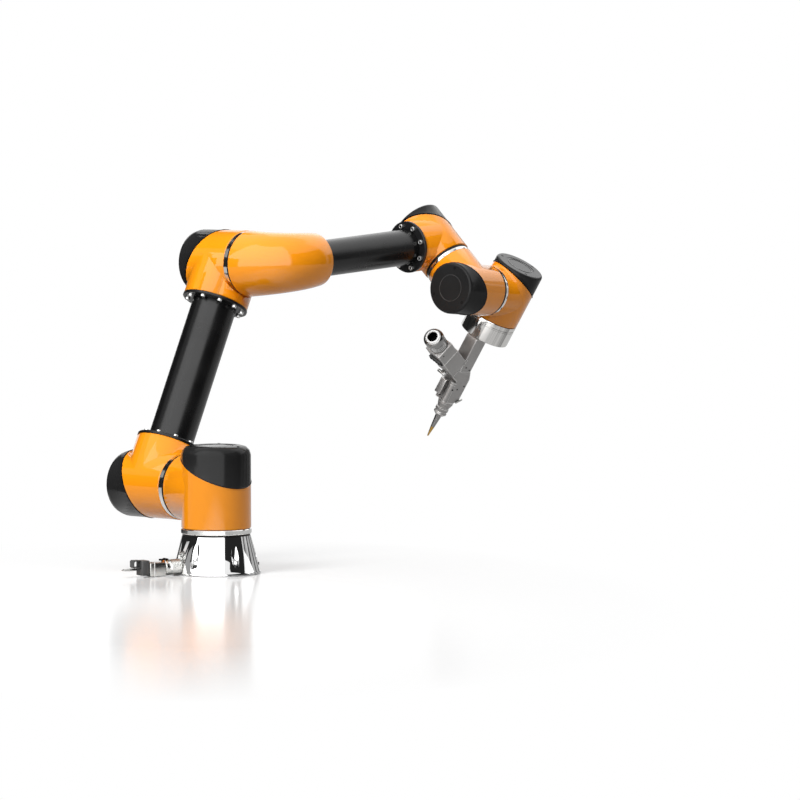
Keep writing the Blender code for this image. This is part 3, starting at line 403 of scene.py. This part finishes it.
def fine(node, look, axes=(), bevel=0.0, rim=None):
    """Stand a finer copy of a CAD node in its place: welded, its flats merged, its edges broken."""
    work = bmesh.new()
    work.from_mesh(NODES[node].data)
    bmesh.ops.remove_doubles(work, verts=work.verts, dist=WELD_DISTANCE)
    bmesh.ops.dissolve_limit(work, angle_limit=FLAT_LIMIT, verts=work.verts, edges=work.edges)
    if bevel:
        edges = [edge for edge in work.edges if edge.calc_face_angle(0) > SHARP_LIMIT]
        bmesh.ops.bevel(
            work, geom=edges, offset=bevel, segments=2, profile=0.5, affect="EDGES", clamp_overlap=True
        )
    if rim is not None:
        part_line(work, axes[0], RIM_SHADE_WIDTH)
    piece = add_piece("fine_" + node, work, look, BODY_OF[node], rim)
    if axes:
        round_normals(piece, axes)
    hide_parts(node)
    return piece


def lathe(work, pose, profile, steps=24, second_from=None):
    """Turn (radius, height) points about a pose's Z. A third entry makes that ring a hexagon.

    The faces from one entry of the profile on may take the second material.
    """
    rings = []
    for point in profile:
        radius, height = point[:2]
        ring = []
        for step in range(1 if radius == 0 else steps):
            angle = math.tau * step / steps
            reach = radius
            if len(point) > 2:
                reach = radius / math.cos(angle % (math.tau / 6) - math.tau / 12)
            place = Vector((reach * math.cos(angle), reach * math.sin(angle), height))
            ring.append(work.verts.new(pose @ place))
        rings.append(ring)
    made = []
    for count, (low, high) in enumerate(zip(rings, rings[1:])):
        for step in range(steps):
            after = (step + 1) % steps
            if len(low) == 1:
                face = work.faces.new((low[0], high[after], high[step]))
            elif len(high) == 1:
                face = work.faces.new((low[step], low[after], high[0]))
            else:
                face = work.faces.new((low[step], low[after], high[after], high[step]))
            if second_from is not None and count >= second_from:
                face.material_index = 1
            made.append(face)
    bmesh.ops.recalc_face_normals(work, faces=made)


def screw(work, pose, radius, height, key):
    """A socket screw's head standing on a pose's XY plane, with its hexagonal recess in the second material as
    painted shade.
    """
    soft = radius * 0.12
    profile = [
        (0, 0),
        (radius, 0),
        (radius, height - soft),
        (radius - soft * 0.35, height - soft * 0.35),
        (radius - soft, height),
        (key + soft, height),
        (key, height - soft * 0.5, True),
        (key, height * 0.42, True),
        (0, height * 0.42),
    ]
    lathe(work, pose, profile, 24, 6)


def slab(work, pose, size, edge):
    """A box centred on a pose, with rounded edges."""
    before = set(work.verts)
    bmesh.ops.create_cube(work, size=1.0)
    fresh = [vert for vert in work.verts if vert not in before]
    for vert in fresh:
        vert.co = Vector(part * whole for part, whole in zip(vert.co, size))
    edges = list({line for vert in fresh for line in vert.link_edges})
    bmesh.ops.bevel(work, geom=edges, offset=edge, segments=2, profile=0.5, affect="EDGES")
    fresh = [vert for vert in work.verts if vert not in before]
    bmesh.ops.transform(work, matrix=pose, verts=fresh)


def screws(name, looks, body, poses, radius, height, key, look="screw"):
    """Socket screws at several poses, as one piece with painted shade in their recesses."""
    work = bmesh.new()
    for pose in poses:
        screw(work, pose, radius, height, key)
    return add_piece(name, work, looks[look], body, looks["hole"])


def build_camera():
    """The photograph's own long lens, so that the render lies over it."""
    azimuth = math.radians(CAMERA_AZIMUTH_DEGREES)
    drop = math.radians(CAMERA_DROP_DEGREES)
    look = Vector((math.sin(azimuth) * math.cos(drop), math.cos(azimuth) * math.cos(drop), -math.sin(drop)))
    right = look.cross(Vector((0, 0, 1))).normalized()
    upward = right.cross(look)
    pose = Matrix((right, upward, -look)).transposed().to_4x4()
    camera = bpy.data.cameras.new("camera")
    holder = bpy.data.objects.new("camera", camera)
    bpy.context.scene.collection.objects.link(holder)
    holder.matrix_world = (
        Matrix.Translation(CAMERA_PLACE) @ pose @ Matrix.Rotation(math.radians(CAMERA_ROLL_DEGREES), 4, "Z")
    )
    camera.sensor_width = SENSOR_WIDTH
    camera.lens = CAMERA_LENS
    camera.clip_end = CLIP_END
    bpy.context.scene.camera = holder


def lamp(name, place, width, height, watts):
    """A soft rectangular lamp that shines at the part, and that nothing mirrors."""
    data = bpy.data.lights.new(name, "AREA")
    data.shape = "RECTANGLE"
    data.size = width
    data.size_y = height
    data.energy = watts
    made = bpy.data.objects.new(name, data)
    bpy.context.scene.collection.objects.link(made)
    made.location = place
    made.rotation_euler = (Vector(LAMP_TARGET) - Vector(place)).to_track_quat("-Z", "Y").to_euler()
    made.visible_camera = False
    made.visible_glossy = False


def build_studio():
    """Three lamps that reflections don't see, and the cards and flags that only reflections see."""
    world = bpy.data.worlds.new("studio")
    world.use_nodes = True
    tree = world.node_tree
    tree.nodes["Background"].inputs["Color"].default_value = (1.0, 1.0, 1.0, 1.0)
    # Pure white for the camera and for reflections, and a dimmer light on the surfaces.
    path = tree.nodes.new("ShaderNodeLightPath")
    shown = tree.nodes.new("ShaderNodeMath")
    shown.operation = "MAXIMUM"
    seen = tree.nodes.new("ShaderNodeMath")
    seen.operation = "MAXIMUM"
    tree.links.new(path.outputs["Is Camera Ray"], seen.inputs[0])
    tree.links.new(path.outputs["Is Glossy Ray"], seen.inputs[1])
    tree.links.new(seen.outputs["Value"], shown.inputs[0])
    tree.links.new(path.outputs["Is Transmission Ray"], shown.inputs[1])
    strength = tree.nodes.new("ShaderNodeMapRange")
    strength.inputs["To Min"].default_value = WORLD_DIFFUSE
    strength.inputs["To Max"].default_value = 1.0
    tree.links.new(shown.outputs["Value"], strength.inputs["Value"])
    tree.links.new(strength.outputs["Result"], tree.nodes["Background"].inputs["Strength"])
    bpy.context.scene.world = world
    bpy.context.scene.view_settings.view_transform = "Standard"

    lamp("top_light", (0.2, 0.1, 2.6), 2.2, 1.6, 18.0)
    lamp("key_light", seen_from(-42, 46, LAMP_DISTANCE), 1.0, 1.5, 82.0)
    lamp("fill_light", seen_from(62, 30, LAMP_DISTANCE), 1.4, 1.4, 8.0)

    # What the glossy surfaces mirror, as degrees to the right of the camera and above the floor.
    for name, sides, rises, glow in (
        ("front_box", (-66, 27), (1, 72), 2.7),
        ("side_box", (-79, -66), (24, 72), 2.7),
        ("right_flag", (30, 94), (0, 42), FLAG_GLOW),
        ("left_flag", (-160, -110), (0, 42), FLAG_GLOW),
        ("left_high_flag", (-174, -110), (26, 50), FLAG_GLOW),
        ("left_low_flag", (-110, -66), (0, 24), FLAG_GLOW),
        ("left_grey", (-110, -80), (24, 48), 0.35),
        ("rear_grey", (96, 160), (0, 23), 0.45),
        ("back_box", (98, 181), (24, 62), 1.6),
    ):
        card(name, sides, rises, glow)
    strips = ((101, 105, 0.03), (112, 114, 0.9), (118, 123, 0.05), (134, 139, 0.08), (150, 154, 0.05))
    for start, end, glow in strips:
        card("rear_strip", (start, end), (1, 23), glow, STRIP_DISTANCE)
    floor_card("left_floor", (-165, -105), (0.75, 3.2), 0.03)
    build_floor()


def seen_from(side_degrees, rise_degrees, distance):
    """A place round the part, by its angle to the right of the camera and above the floor."""
    bearing = math.radians(CAMERA_BEARING_DEGREES + side_degrees)
    rise = math.radians(rise_degrees)
    flat = distance * math.cos(rise)
    return (flat * math.cos(bearing), flat * math.sin(bearing), distance * math.sin(rise))


def card(name, sides, rises, glow, distance=CARD_DISTANCE):
    """A flag or soft box that only reflections show, as part of a sphere round the part."""
    rows = []
    for up in range(CARD_STEPS + 1):
        rise = rises[0] + (rises[1] - rises[0]) * up / CARD_STEPS
        row = []
        for across in range(CARD_STEPS + 1):
            side = sides[0] + (sides[1] - sides[0]) * across / CARD_STEPS
            row.append(seen_from(side, rise, distance))
        rows.append(row)
    card_mesh(name, rows, glow)


def floor_card(name, sides, reach, glow):
    """What the polished table mirrors of a flag, as a wedge that lies on the floor."""
    rows = []
    for distance in reach:
        row = []
        for across in range(CARD_STEPS + 1):
            side = sides[0] + (sides[1] - sides[0]) * across / CARD_STEPS
            place = seen_from(side, 0, distance)
            row.append((place[0], place[1], FLOOR_CARD_HEIGHT))
        rows.append(row)
    card_mesh(name, rows, glow)


def card_mesh(name, rows, glow):
    """A glowing sheet through rows of places, that gives no light of its own and casts no shadow."""
    work = bmesh.new()
    rows = [[work.verts.new(place) for place in row] for row in rows]
    for low, high in zip(rows, rows[1:]):
        for across in range(CARD_STEPS):
            work.faces.new((low[across], low[across + 1], high[across + 1], high[across]))
    mesh = bpy.data.meshes.new(name)
    work.to_mesh(mesh)
    work.free()
    flag = bpy.data.objects.new(name, mesh)
    bpy.context.scene.collection.objects.link(flag)
    flag.visible_camera = False
    flag.visible_diffuse = False
    flag.visible_transmission = False
    flag.visible_shadow = False
    shader = Shader(name, (0.0, 0.0, 0.0), 0.9, specular=0.0)
    shader.base.inputs["Emission Color"].default_value = (1.0, 1.0, 1.0, 1.0)
    shader.base.inputs["Emission Strength"].default_value = glow
    mesh.materials.append(shader.material)


def build_floor():
    """A plain pale floor that turns into the white backdrop away from the part."""
    work = bmesh.new()
    bmesh.ops.create_grid(work, x_segments=1, y_segments=1, size=FLOOR_HALF_WIDTH)
    mesh = bpy.data.meshes.new("floor")
    work.to_mesh(mesh)
    work.free()
    floor = bpy.data.objects.new("floor", mesh)
    bpy.context.scene.collection.objects.link(floor)
    floor.location = (0, 0, FLOOR_HEIGHT)
    shader = Shader("floor_paint", FLOOR_TONE, 0.16, specular=0.30)
    path = shader.add("ShaderNodeLightPath")
    shader.colour(shader.mix(path.outputs["Is Diffuse Ray"], FLOOR_TONE, FLOOR_BOUNCE))
    patch = shader.add("ShaderNodeMapping", vector_type="TEXTURE")
    patch.inputs["Location"].default_value = FLOOR_PATCH_PLACE
    patch.inputs["Rotation"].default_value = (0, 0, math.radians(CAMERA_BEARING_DEGREES))
    patch.inputs["Scale"].default_value = FLOOR_PATCH_SIZE
    shader.link(shader.place, patch.inputs["Vector"])
    away = shader.add("ShaderNodeVectorMath", operation="LENGTH")
    shader.link(patch.outputs["Vector"], away.inputs[0])
    fade = shader.spread(away.outputs["Value"], 0.0, 1.0, FLOOR_FADE_START, 1.0)
    glossy = shader.add("ShaderNodeMath", operation="MAXIMUM")
    shader.link(path.outputs["Is Camera Ray"], glossy.inputs[0])
    shader.link(path.outputs["Is Glossy Ray"], glossy.inputs[1])
    shown = shader.add("ShaderNodeMath", operation="MAXIMUM")
    shader.link(glossy.outputs["Value"], shown.inputs[0])
    shader.link(path.outputs["Is Transmission Ray"], shown.inputs[1])
    factor = shader.add("ShaderNodeMath", operation="MULTIPLY")
    shader.link(fade, factor.inputs[0])
    shader.link(shown.outputs["Value"], factor.inputs[1])
    white = shader.add("ShaderNodeEmission")
    glow = shader.spread(path.outputs["Is Camera Ray"], FLOOR_MIRRORED, 1.0, 0.0, 1.0)
    shader.link(glow, white.inputs["Strength"])
    blend = shader.add("ShaderNodeMixShader")
    shader.link(factor.outputs["Value"], blend.inputs["Fac"])
    shader.link(shader.base.outputs["BSDF"], blend.inputs[1])
    shader.link(white.outputs["Emission"], blend.inputs[2])
    shader.link(blend.outputs["Shader"], shader.tree.nodes["Material Output"].inputs["Surface"])
    mesh.materials.append(shader.material)


def build_arm(looks):
    """The foot, the joint units, the tubes and the forearm shell, finer than the CAD."""
    base = joint_axis("base_turn")
    shoulder = joint_axis("shoulder")
    elbow = joint_axis("elbow")
    wrist_1 = joint_axis("wrist_1_turn")
    wrist_2 = joint_axis("wrist_2_turn")
    wrist_3 = joint_axis("wrist_3_turn")
    upper = Axis(JOINTS["shoulder"]["pos_m"], elbow.place - shoulder.place)
    tube = forearm_line()

    orange = {
        "shoulder_housing": (base, shoulder),
        "lower_housing": (shoulder, upper),
        "elbow_housing": (elbow, upper),
        "wrist_housing": (wrist_1, tube),
        "wrist_1_housing": (wrist_2, wrist_1),
        "wrist_2_housing": (wrist_3, wrist_2),
    }
    for node, axes in orange.items():
        fine(node, looks["orange"], axes)
    fine("forearm_shell", looks["orange"])
    caps = {
        "shoulder_cap": base,
        "lower_cap": shoulder,
        "elbow_cap": elbow,
        "wrist_cap": wrist_1,
        "wrist_1_cap": wrist_2,
        "wrist_2_cap": wrist_3,
    }
    for node, axis in caps.items():
        # The cap's rim takes the near-black look as painted shade of the gap round the cap.
        fine(node, looks["black"], (axis,), rim=looks["hole"])
    for node, axis in (
        ("shoulder_seal", shoulder),
        ("elbow_seal", elbow),
        ("wrist_1_seal", wrist_1),
        ("wrist_2_seal", wrist_2),
        ("base_collar", base),
        ("shell_collar", tube),
    ):
        fine(node, looks["seal"], (axis,), EDGE_SOFTNESS)
    for node, axis in (
        ("shoulder_ring", shoulder),
        ("elbow_ring", elbow),
        ("wrist_1_ring", wrist_1),
        ("wrist_2_ring", wrist_2),
        ("base_ring", base),
    ):
        fine(node, looks["ring"], (axis,))
    fine("lower_flange", looks["flange_black"], (upper,))
    fine("upper_flange", looks["flange_black"], (upper,))
    fine("wrist_flange", looks["flange_black"], (tube,))
    fine("upper_arm_tube", looks["tube"], (upper,))
    fine("forearm_tube", looks["tube"], (tube,))
    fine("pedestal", looks["chrome"], (base,))


def forearm_line():
    """The axis of the forearm tube, from the middles of its two end rings."""
    low = node_middle("shell_collar")
    high = node_middle("wrist_flange")
    return Axis(low, high - low)


def flipped(pose):
    return pose @ Matrix.Rotation(math.pi, 4, "X")


def outward(height_pose, radius):
    return height_pose @ Matrix.Translation((radius, 0, 0))


def build_screws(looks):
    """The screws of the three tube flanges, the caps, the pedestal's pockets."""
    shoulder = joint_axis("shoulder")
    elbow = joint_axis("elbow")
    wrist_1 = joint_axis("wrist_1_turn")
    wrist_2 = joint_axis("wrist_2_turn")
    wrist_3 = joint_axis("wrist_3_turn")
    upper = Axis(shoulder.place, elbow.place - shoulder.place, (0, 1, 0))
    line = forearm_line()
    tube = Axis(line.place, line.direction, wrist_1.direction)
    for name, node, axis, body, radius, size, count, start, low_side in (
        ("lower_flange_screws", "lower_flange", upper, "upper_arm", 0.0480, 0.0042, 10, 0.5, False),
        ("upper_flange_screws", "upper_flange", upper, "upper_arm", 0.0480, 0.0042, 10, 0.5, True),
        ("wrist_flange_screws", "wrist_flange", tube, "forearm", 0.0368, 0.0041, 8, 30.8, True),
    ):
        low, high, widest = axis.reach(node)
        poses = []
        for number in range(count):
            turn = start + 360 * number / count
            if low_side:
                poses.append(flipped(outward(axis.matrix(low, turn), radius)))
            else:
                poses.append(outward(axis.matrix(high, turn), radius))
        screws(name, looks, body, poses, size, size * 0.92, size * 0.46)
    for node, axis, start in (
        ("shoulder_cap", Axis((0, 0, 0), (0, 0, 1), (1, 0, 0)), 40.0),
        ("lower_cap", shoulder, 20.0),
        ("elbow_cap", Axis(elbow.place, -elbow.direction), 35.0),
        ("wrist_cap", Axis(wrist_1.place, -wrist_1.direction), 10.0),
        ("wrist_1_cap", Axis(wrist_2.place, -wrist_2.direction, -wrist_1.direction), 61.5),
        ("wrist_2_cap", Axis(wrist_3.place, -wrist_3.direction, -wrist_2.direction), 58.0),
    ):
        low, high, widest = axis.reach(node)
        if abs(high) < abs(low):
            axis = axis.reversed()
            low, high, widest = axis.reach(node)
        # Three near-black dots on each cap top, for its screws: painted shade of the screw holes.
        work = bmesh.new()
        for number in range(3):
            pose = outward(axis.matrix(high - 0.0004, start + 120 * number), widest * 0.78)
            lathe(work, pose, [(0, 0), (0.0023, 0), (0.0023, 0.0005), (0.0016, 0.0005), (0, 0.0002)], 20)
        add_piece(node + "_screws", work, looks["hole"], BODY_OF[node])
        # A raised bead on each cap top, lighter than the cap as a painted highlight.
        bead = widest * 0.50
        profile = [
            (bead - 0.0008, 0),
            (bead - 0.0004, 0.0007),
            (bead + 0.0004, 0.0007),
            (bead + 0.0008, 0),
            (bead - 0.0008, 0),
        ]
        work = bmesh.new()
        lathe(work, axis.matrix(cap_floor(node, axis, widest * 0.70)), profile, 64)
        add_piece(node + "_bead", work, looks["bead"], BODY_OF[node])
    base = Axis((0, 0, 0), (0, 0, 1), (1, 0, 0))
    poses = [outward(base.matrix(0.0131, 14.4 + 60 * number), 0.0665) for number in range(6)]
    screws("pocket_screws", looks, "base", poses, 0.0048, 0.0046, 0.0024, "flange_black")


def cap_floor(node, axis, radius):
    """The height of a cap's sunk top, inside a radius."""
    places = [vert.co for vert in NODES[node].data.vertices]
    return min(axis.height(place) for place in places if axis.radial(place).length < radius)


def build_ring_slots(looks):
    """The small spanner slots round the two wrist rings, as near-black slabs of painted shade."""
    for node, joint in (("wrist_1_ring", "wrist_1_turn"), ("wrist_2_ring", "wrist_2_turn")):
        axis = joint_axis(joint)
        _, high, widest = axis.reach(node)
        work = bmesh.new()
        for number in range(12):
            pose = outward(axis.matrix(high - 0.0013, 30 * number), widest - 0.0002)
            slab(work, pose, (0.0008, 0.0050, 0.0012), 0.0002)
        add_piece(node + "_slots", work, looks["hole"], BODY_OF[node])


def tool_pose():
    """The tool flange's frame: Z out of the flange, X towards the fibre side."""
    axis = joint_axis("wrist_3_turn")
    side = -joint_axis("wrist_2_turn").direction
    return Axis(axis.place, axis.direction, side).matrix(TOOL_FRAME_HEIGHT)


def fibre_pose():
    """The tilted fibre inlet's frame: Z along it, out of the head."""
    tilt = Matrix.Rotation(math.radians(FIBRE_TILT_DEGREES), 4, "Y")
    return tool_pose() @ Matrix.Translation(FIBRE_PLACE) @ tilt


def build_head(looks):
    """The welding head on its bar: the CAD's blocks, the ribbed nose, the holes and the fittings."""
    for node in ("bracket_bar", "head_body", "fibre_block", "fibre_sleeve"):
        fine(node, looks["head"])
    tool = tool_pose()
    down = tool.to_3x3() @ Vector((0, 0, 1))
    nozzle = Axis(tool @ Vector((0.0200, -0.0070, 0)), down)
    focus = Axis(tool @ Vector((0.0464, -0.0193, 0)), down)
    for node, axis in (("nozzle_seat", nozzle), ("focus_column", focus), ("nozzle_collar", nozzle)):
        fine(node, looks["head"], (axis,))
    for node in ("cover_lever", "gas_fitting"):
        fine(node, looks["steel"], bevel=SMALL_EDGE)
    fine("nozzle_lance", looks["gunmetal"], (nozzle,))
    fine("fitting_plate", looks["dark"], bevel=SMALL_EDGE)
    fine("side_module", looks["head"])
    fine("nozzle_tip", looks["brass"], (nozzle,))

    fibre = fibre_pose()
    nose = Axis(fibre.translation, fibre.to_3x3() @ Vector((0, 0, 1)), fibre.to_3x3() @ Vector((1, 0, 0)))
    low, high, _ = nose.reach("fibre_socket")
    work = bmesh.new()
    profile = [(0, low), (0.0160, low), (0.0166, low + 0.0006)]
    for number in range(4):
        start = low + 0.0050 + 0.0042 * number
        profile += [
            (0.0166, start),
            (0.0152, start + 0.0006),
            (0.0152, start + 0.0014),
            (0.0168, start + 0.0020),
        ]
    profile += [
        (0.0168, low + 0.0210),
        (0.0178, low + 0.0216),
        (0.0180, low + 0.0226),
        (0.0180, high - 0.0056),
        (0.0176, high - 0.0040),
        (0.0166, high - 0.0022),
        (0.0152, high - 0.0008),
        (0.0138, high - 0.0001),
        (0.0128, high),
        (0.0096, high - 0.0002),
        (0.0088, high - 0.0010),
    ]
    # From the bore's mouth on, the faces take the near-black look: painted shade inside the bore.
    bore_shade_from = len(profile) - 1
    profile += [(0.0085, low + 0.0200), (0, low + 0.0200)]
    lathe(work, nose.matrix(), profile, 48, bore_shade_from)
    made = add_piece("fibre_nose", work, looks["gunmetal"], "tool", looks["hole"])
    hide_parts("fibre_socket")
    work = bmesh.new()
    face = [(0.0092, 0), (0.0096, 0.0010), (0.0124, 0.0010), (0.0128, 0), (0.0092, 0)]
    lathe(work, nose.matrix(high - 0.0006), face, 48)
    add_piece("nose_face", work, looks["face"], "tool")

    # Screw holes, as discs of painted shade: on the front of the head, on the fibre block and on the bar's side.
    work = bmesh.new()
    to_front = Matrix.Rotation(math.radians(90), 4, "X")
    for x, z in ((0.0344, 0.0571), (0.0211, 0.0619), (0.0272, 0.1017), (0.0120, 0.0946)):
        pose = tool @ Matrix.Translation((x, -0.0211, z)) @ to_front
        lathe(work, pose, [(0, 0.0), (0.0014, 0.0), (0.0014, 0.0003), (0.0010, 0.0004), (0, 0.0004)], 16)
    pose = fibre @ Matrix.Translation((-0.0089, -0.0181, 0.0710)) @ to_front
    lathe(work, pose, [(0, 0.0), (0.0013, 0.0), (0.0013, 0.0003), (0.0009, 0.0004), (0, 0.0004)], 16)
    for y, z in ((-0.0020, 0.1236), (-0.0100, 0.1268)):
        pose = tool @ Matrix.Translation((0.0404, y, z)) @ Matrix.Rotation(math.radians(90), 4, "Y")
        lathe(work, pose, [(0, 0.0), (0.0017, 0.0), (0.0017, 0.0010), (0.0012, 0.0013), (0, 0.0013)], 16)
    slab(work, tool @ Matrix.Translation((0.0464, -0.0249, 0.1010)), (0.0034, 0.0012, 0.0026), 0.0003)
    add_piece("head_screw_holes", work, looks["hole"], "tool")

    work = bmesh.new()
    column = tool @ Matrix.Translation((0.0464, -0.01932, 0.0872))
    ring = [(0, 0), (0.0062, 0), (0.0066, 0.0004), (0.0066, 0.0056), (0.0062, 0.0060), (0, 0.0060)]
    lathe(work, column, ring, 24)
    add_piece("focus_collar", work, looks["head"], "tool")

    work = bmesh.new()
    for number in range(4):
        y = -0.0105 + 0.0064 * number
        pose = fibre @ Matrix.Translation((-0.0228, y, 0.0541))
        slab(work, pose, (0.0016, 0.0036, 0.0058), 0.0004)
    slab(work, fibre @ Matrix.Translation((-0.0205, -0.0168, 0.0541)), (0.0030, 0.0010, 0.0056), 0.0003)
    add_piece("fitting_sockets", work, looks["hole"], "tool")

    work = bmesh.new()
    pose = fibre @ Matrix.Translation((-0.0237, -0.0062, 0.0060)) @ Matrix.Rotation(math.radians(-90), 4, "X")
    nut = [
        (0, 0),
        (0.0034, 0, True),
        (0.0037, 0.0005, True),
        (0.0037, 0.0030, True),
        (0.0034, 0.0035, True),
        (0, 0.0035),
    ]
    lathe(work, pose, nut, 24)
    add_piece("gas_nut", work, looks["screw"], "tool")


def build_tool_flange(looks):
    """The tool flange with its grooves and four screws, in place of the plain turned one."""
    axis = joint_axis("wrist_3_turn")
    low, high, radius = axis.reach("tool_flange")
    profile = [(0, low), (radius - 0.0015, low), (radius - 0.0004, low + 0.0004), (radius, low + 0.0014)]
    for place, width, depth in ((0.0070, 0.0014, 0.0012), (0.0104, 0.0006, 0.0006)):
        profile += [
            (radius, low + place),
            (radius - depth, low + place + 0.0002),
            (radius - depth, low + place + width - 0.0002),
            (radius, low + place + width),
        ]
    profile += [
        (radius, high - 0.0016),
        (radius - 0.0004, high - 0.0005),
        (radius - 0.0015, high),
        (0.0360, high),
        (0.0356, high - 0.0004),
        (0.0352, high),
        (0, high),
    ]
    work = bmesh.new()
    lathe(work, axis.matrix(), profile, 72)
    made = add_piece("fine_tool_flange", work, looks["flange"], "tool")
    round_normals(made, (axis,))
    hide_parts("tool_flange")
    poses = [outward(axis.matrix(high, 45 + 90 * number), 0.0290) for number in range(4)]
    screws("tool_flange_screws", looks, "tool", poses, 0.0045, 0.0030, 0.0022)


def build_plug(looks):
    """The plug at the foot, with its lever, tag and band."""
    for node in ("lead_socket", "plug_ring", "plug_tab"):
        fine(node, looks["steel"])
    fine("plug_body", looks["steel"], bevel=SMALL_EDGE)
    for node in ("plug_hood", "plug_latch"):
        fine(node, looks["dark"], bevel=SMALL_EDGE)
    along = Matrix.Rotation(math.radians(PLUG_BEARING_DEGREES), 4, "Z")
    work = bmesh.new()
    slab(work, along @ Matrix.Translation((0.0990, 0, 0.0266)), (0.0160, 0.0050, 0.0030), 0.0006)
    slab(work, along @ Matrix.Translation((0.0960, 0, 0.0278)), (0.0040, 0.0120, 0.0020), 0.0006)
    add_piece("plug_lever", work, looks["hole"], "base")
    work = bmesh.new()
    slab(work, along @ Matrix.Translation((0.0975, 0, 0.0245)), (0.0080, 0.0070, 0.0022), 0.0006)
    add_piece("plug_tag", work, looks["tag"], "base")
    work = bmesh.new()
    slab(work, along @ Matrix.Translation((0.1215, 0, 0.0118)), (0.0022, 0.0248, 0.0236), 0.0005)
    add_piece("plug_band", work, looks["screw"], "base")


looks = build_looks()
build_studio()
build_camera()
build_arm(looks)
build_screws(looks)
build_ring_slots(looks)
build_tool_flange(looks)
build_head(looks)
build_plug(looks)
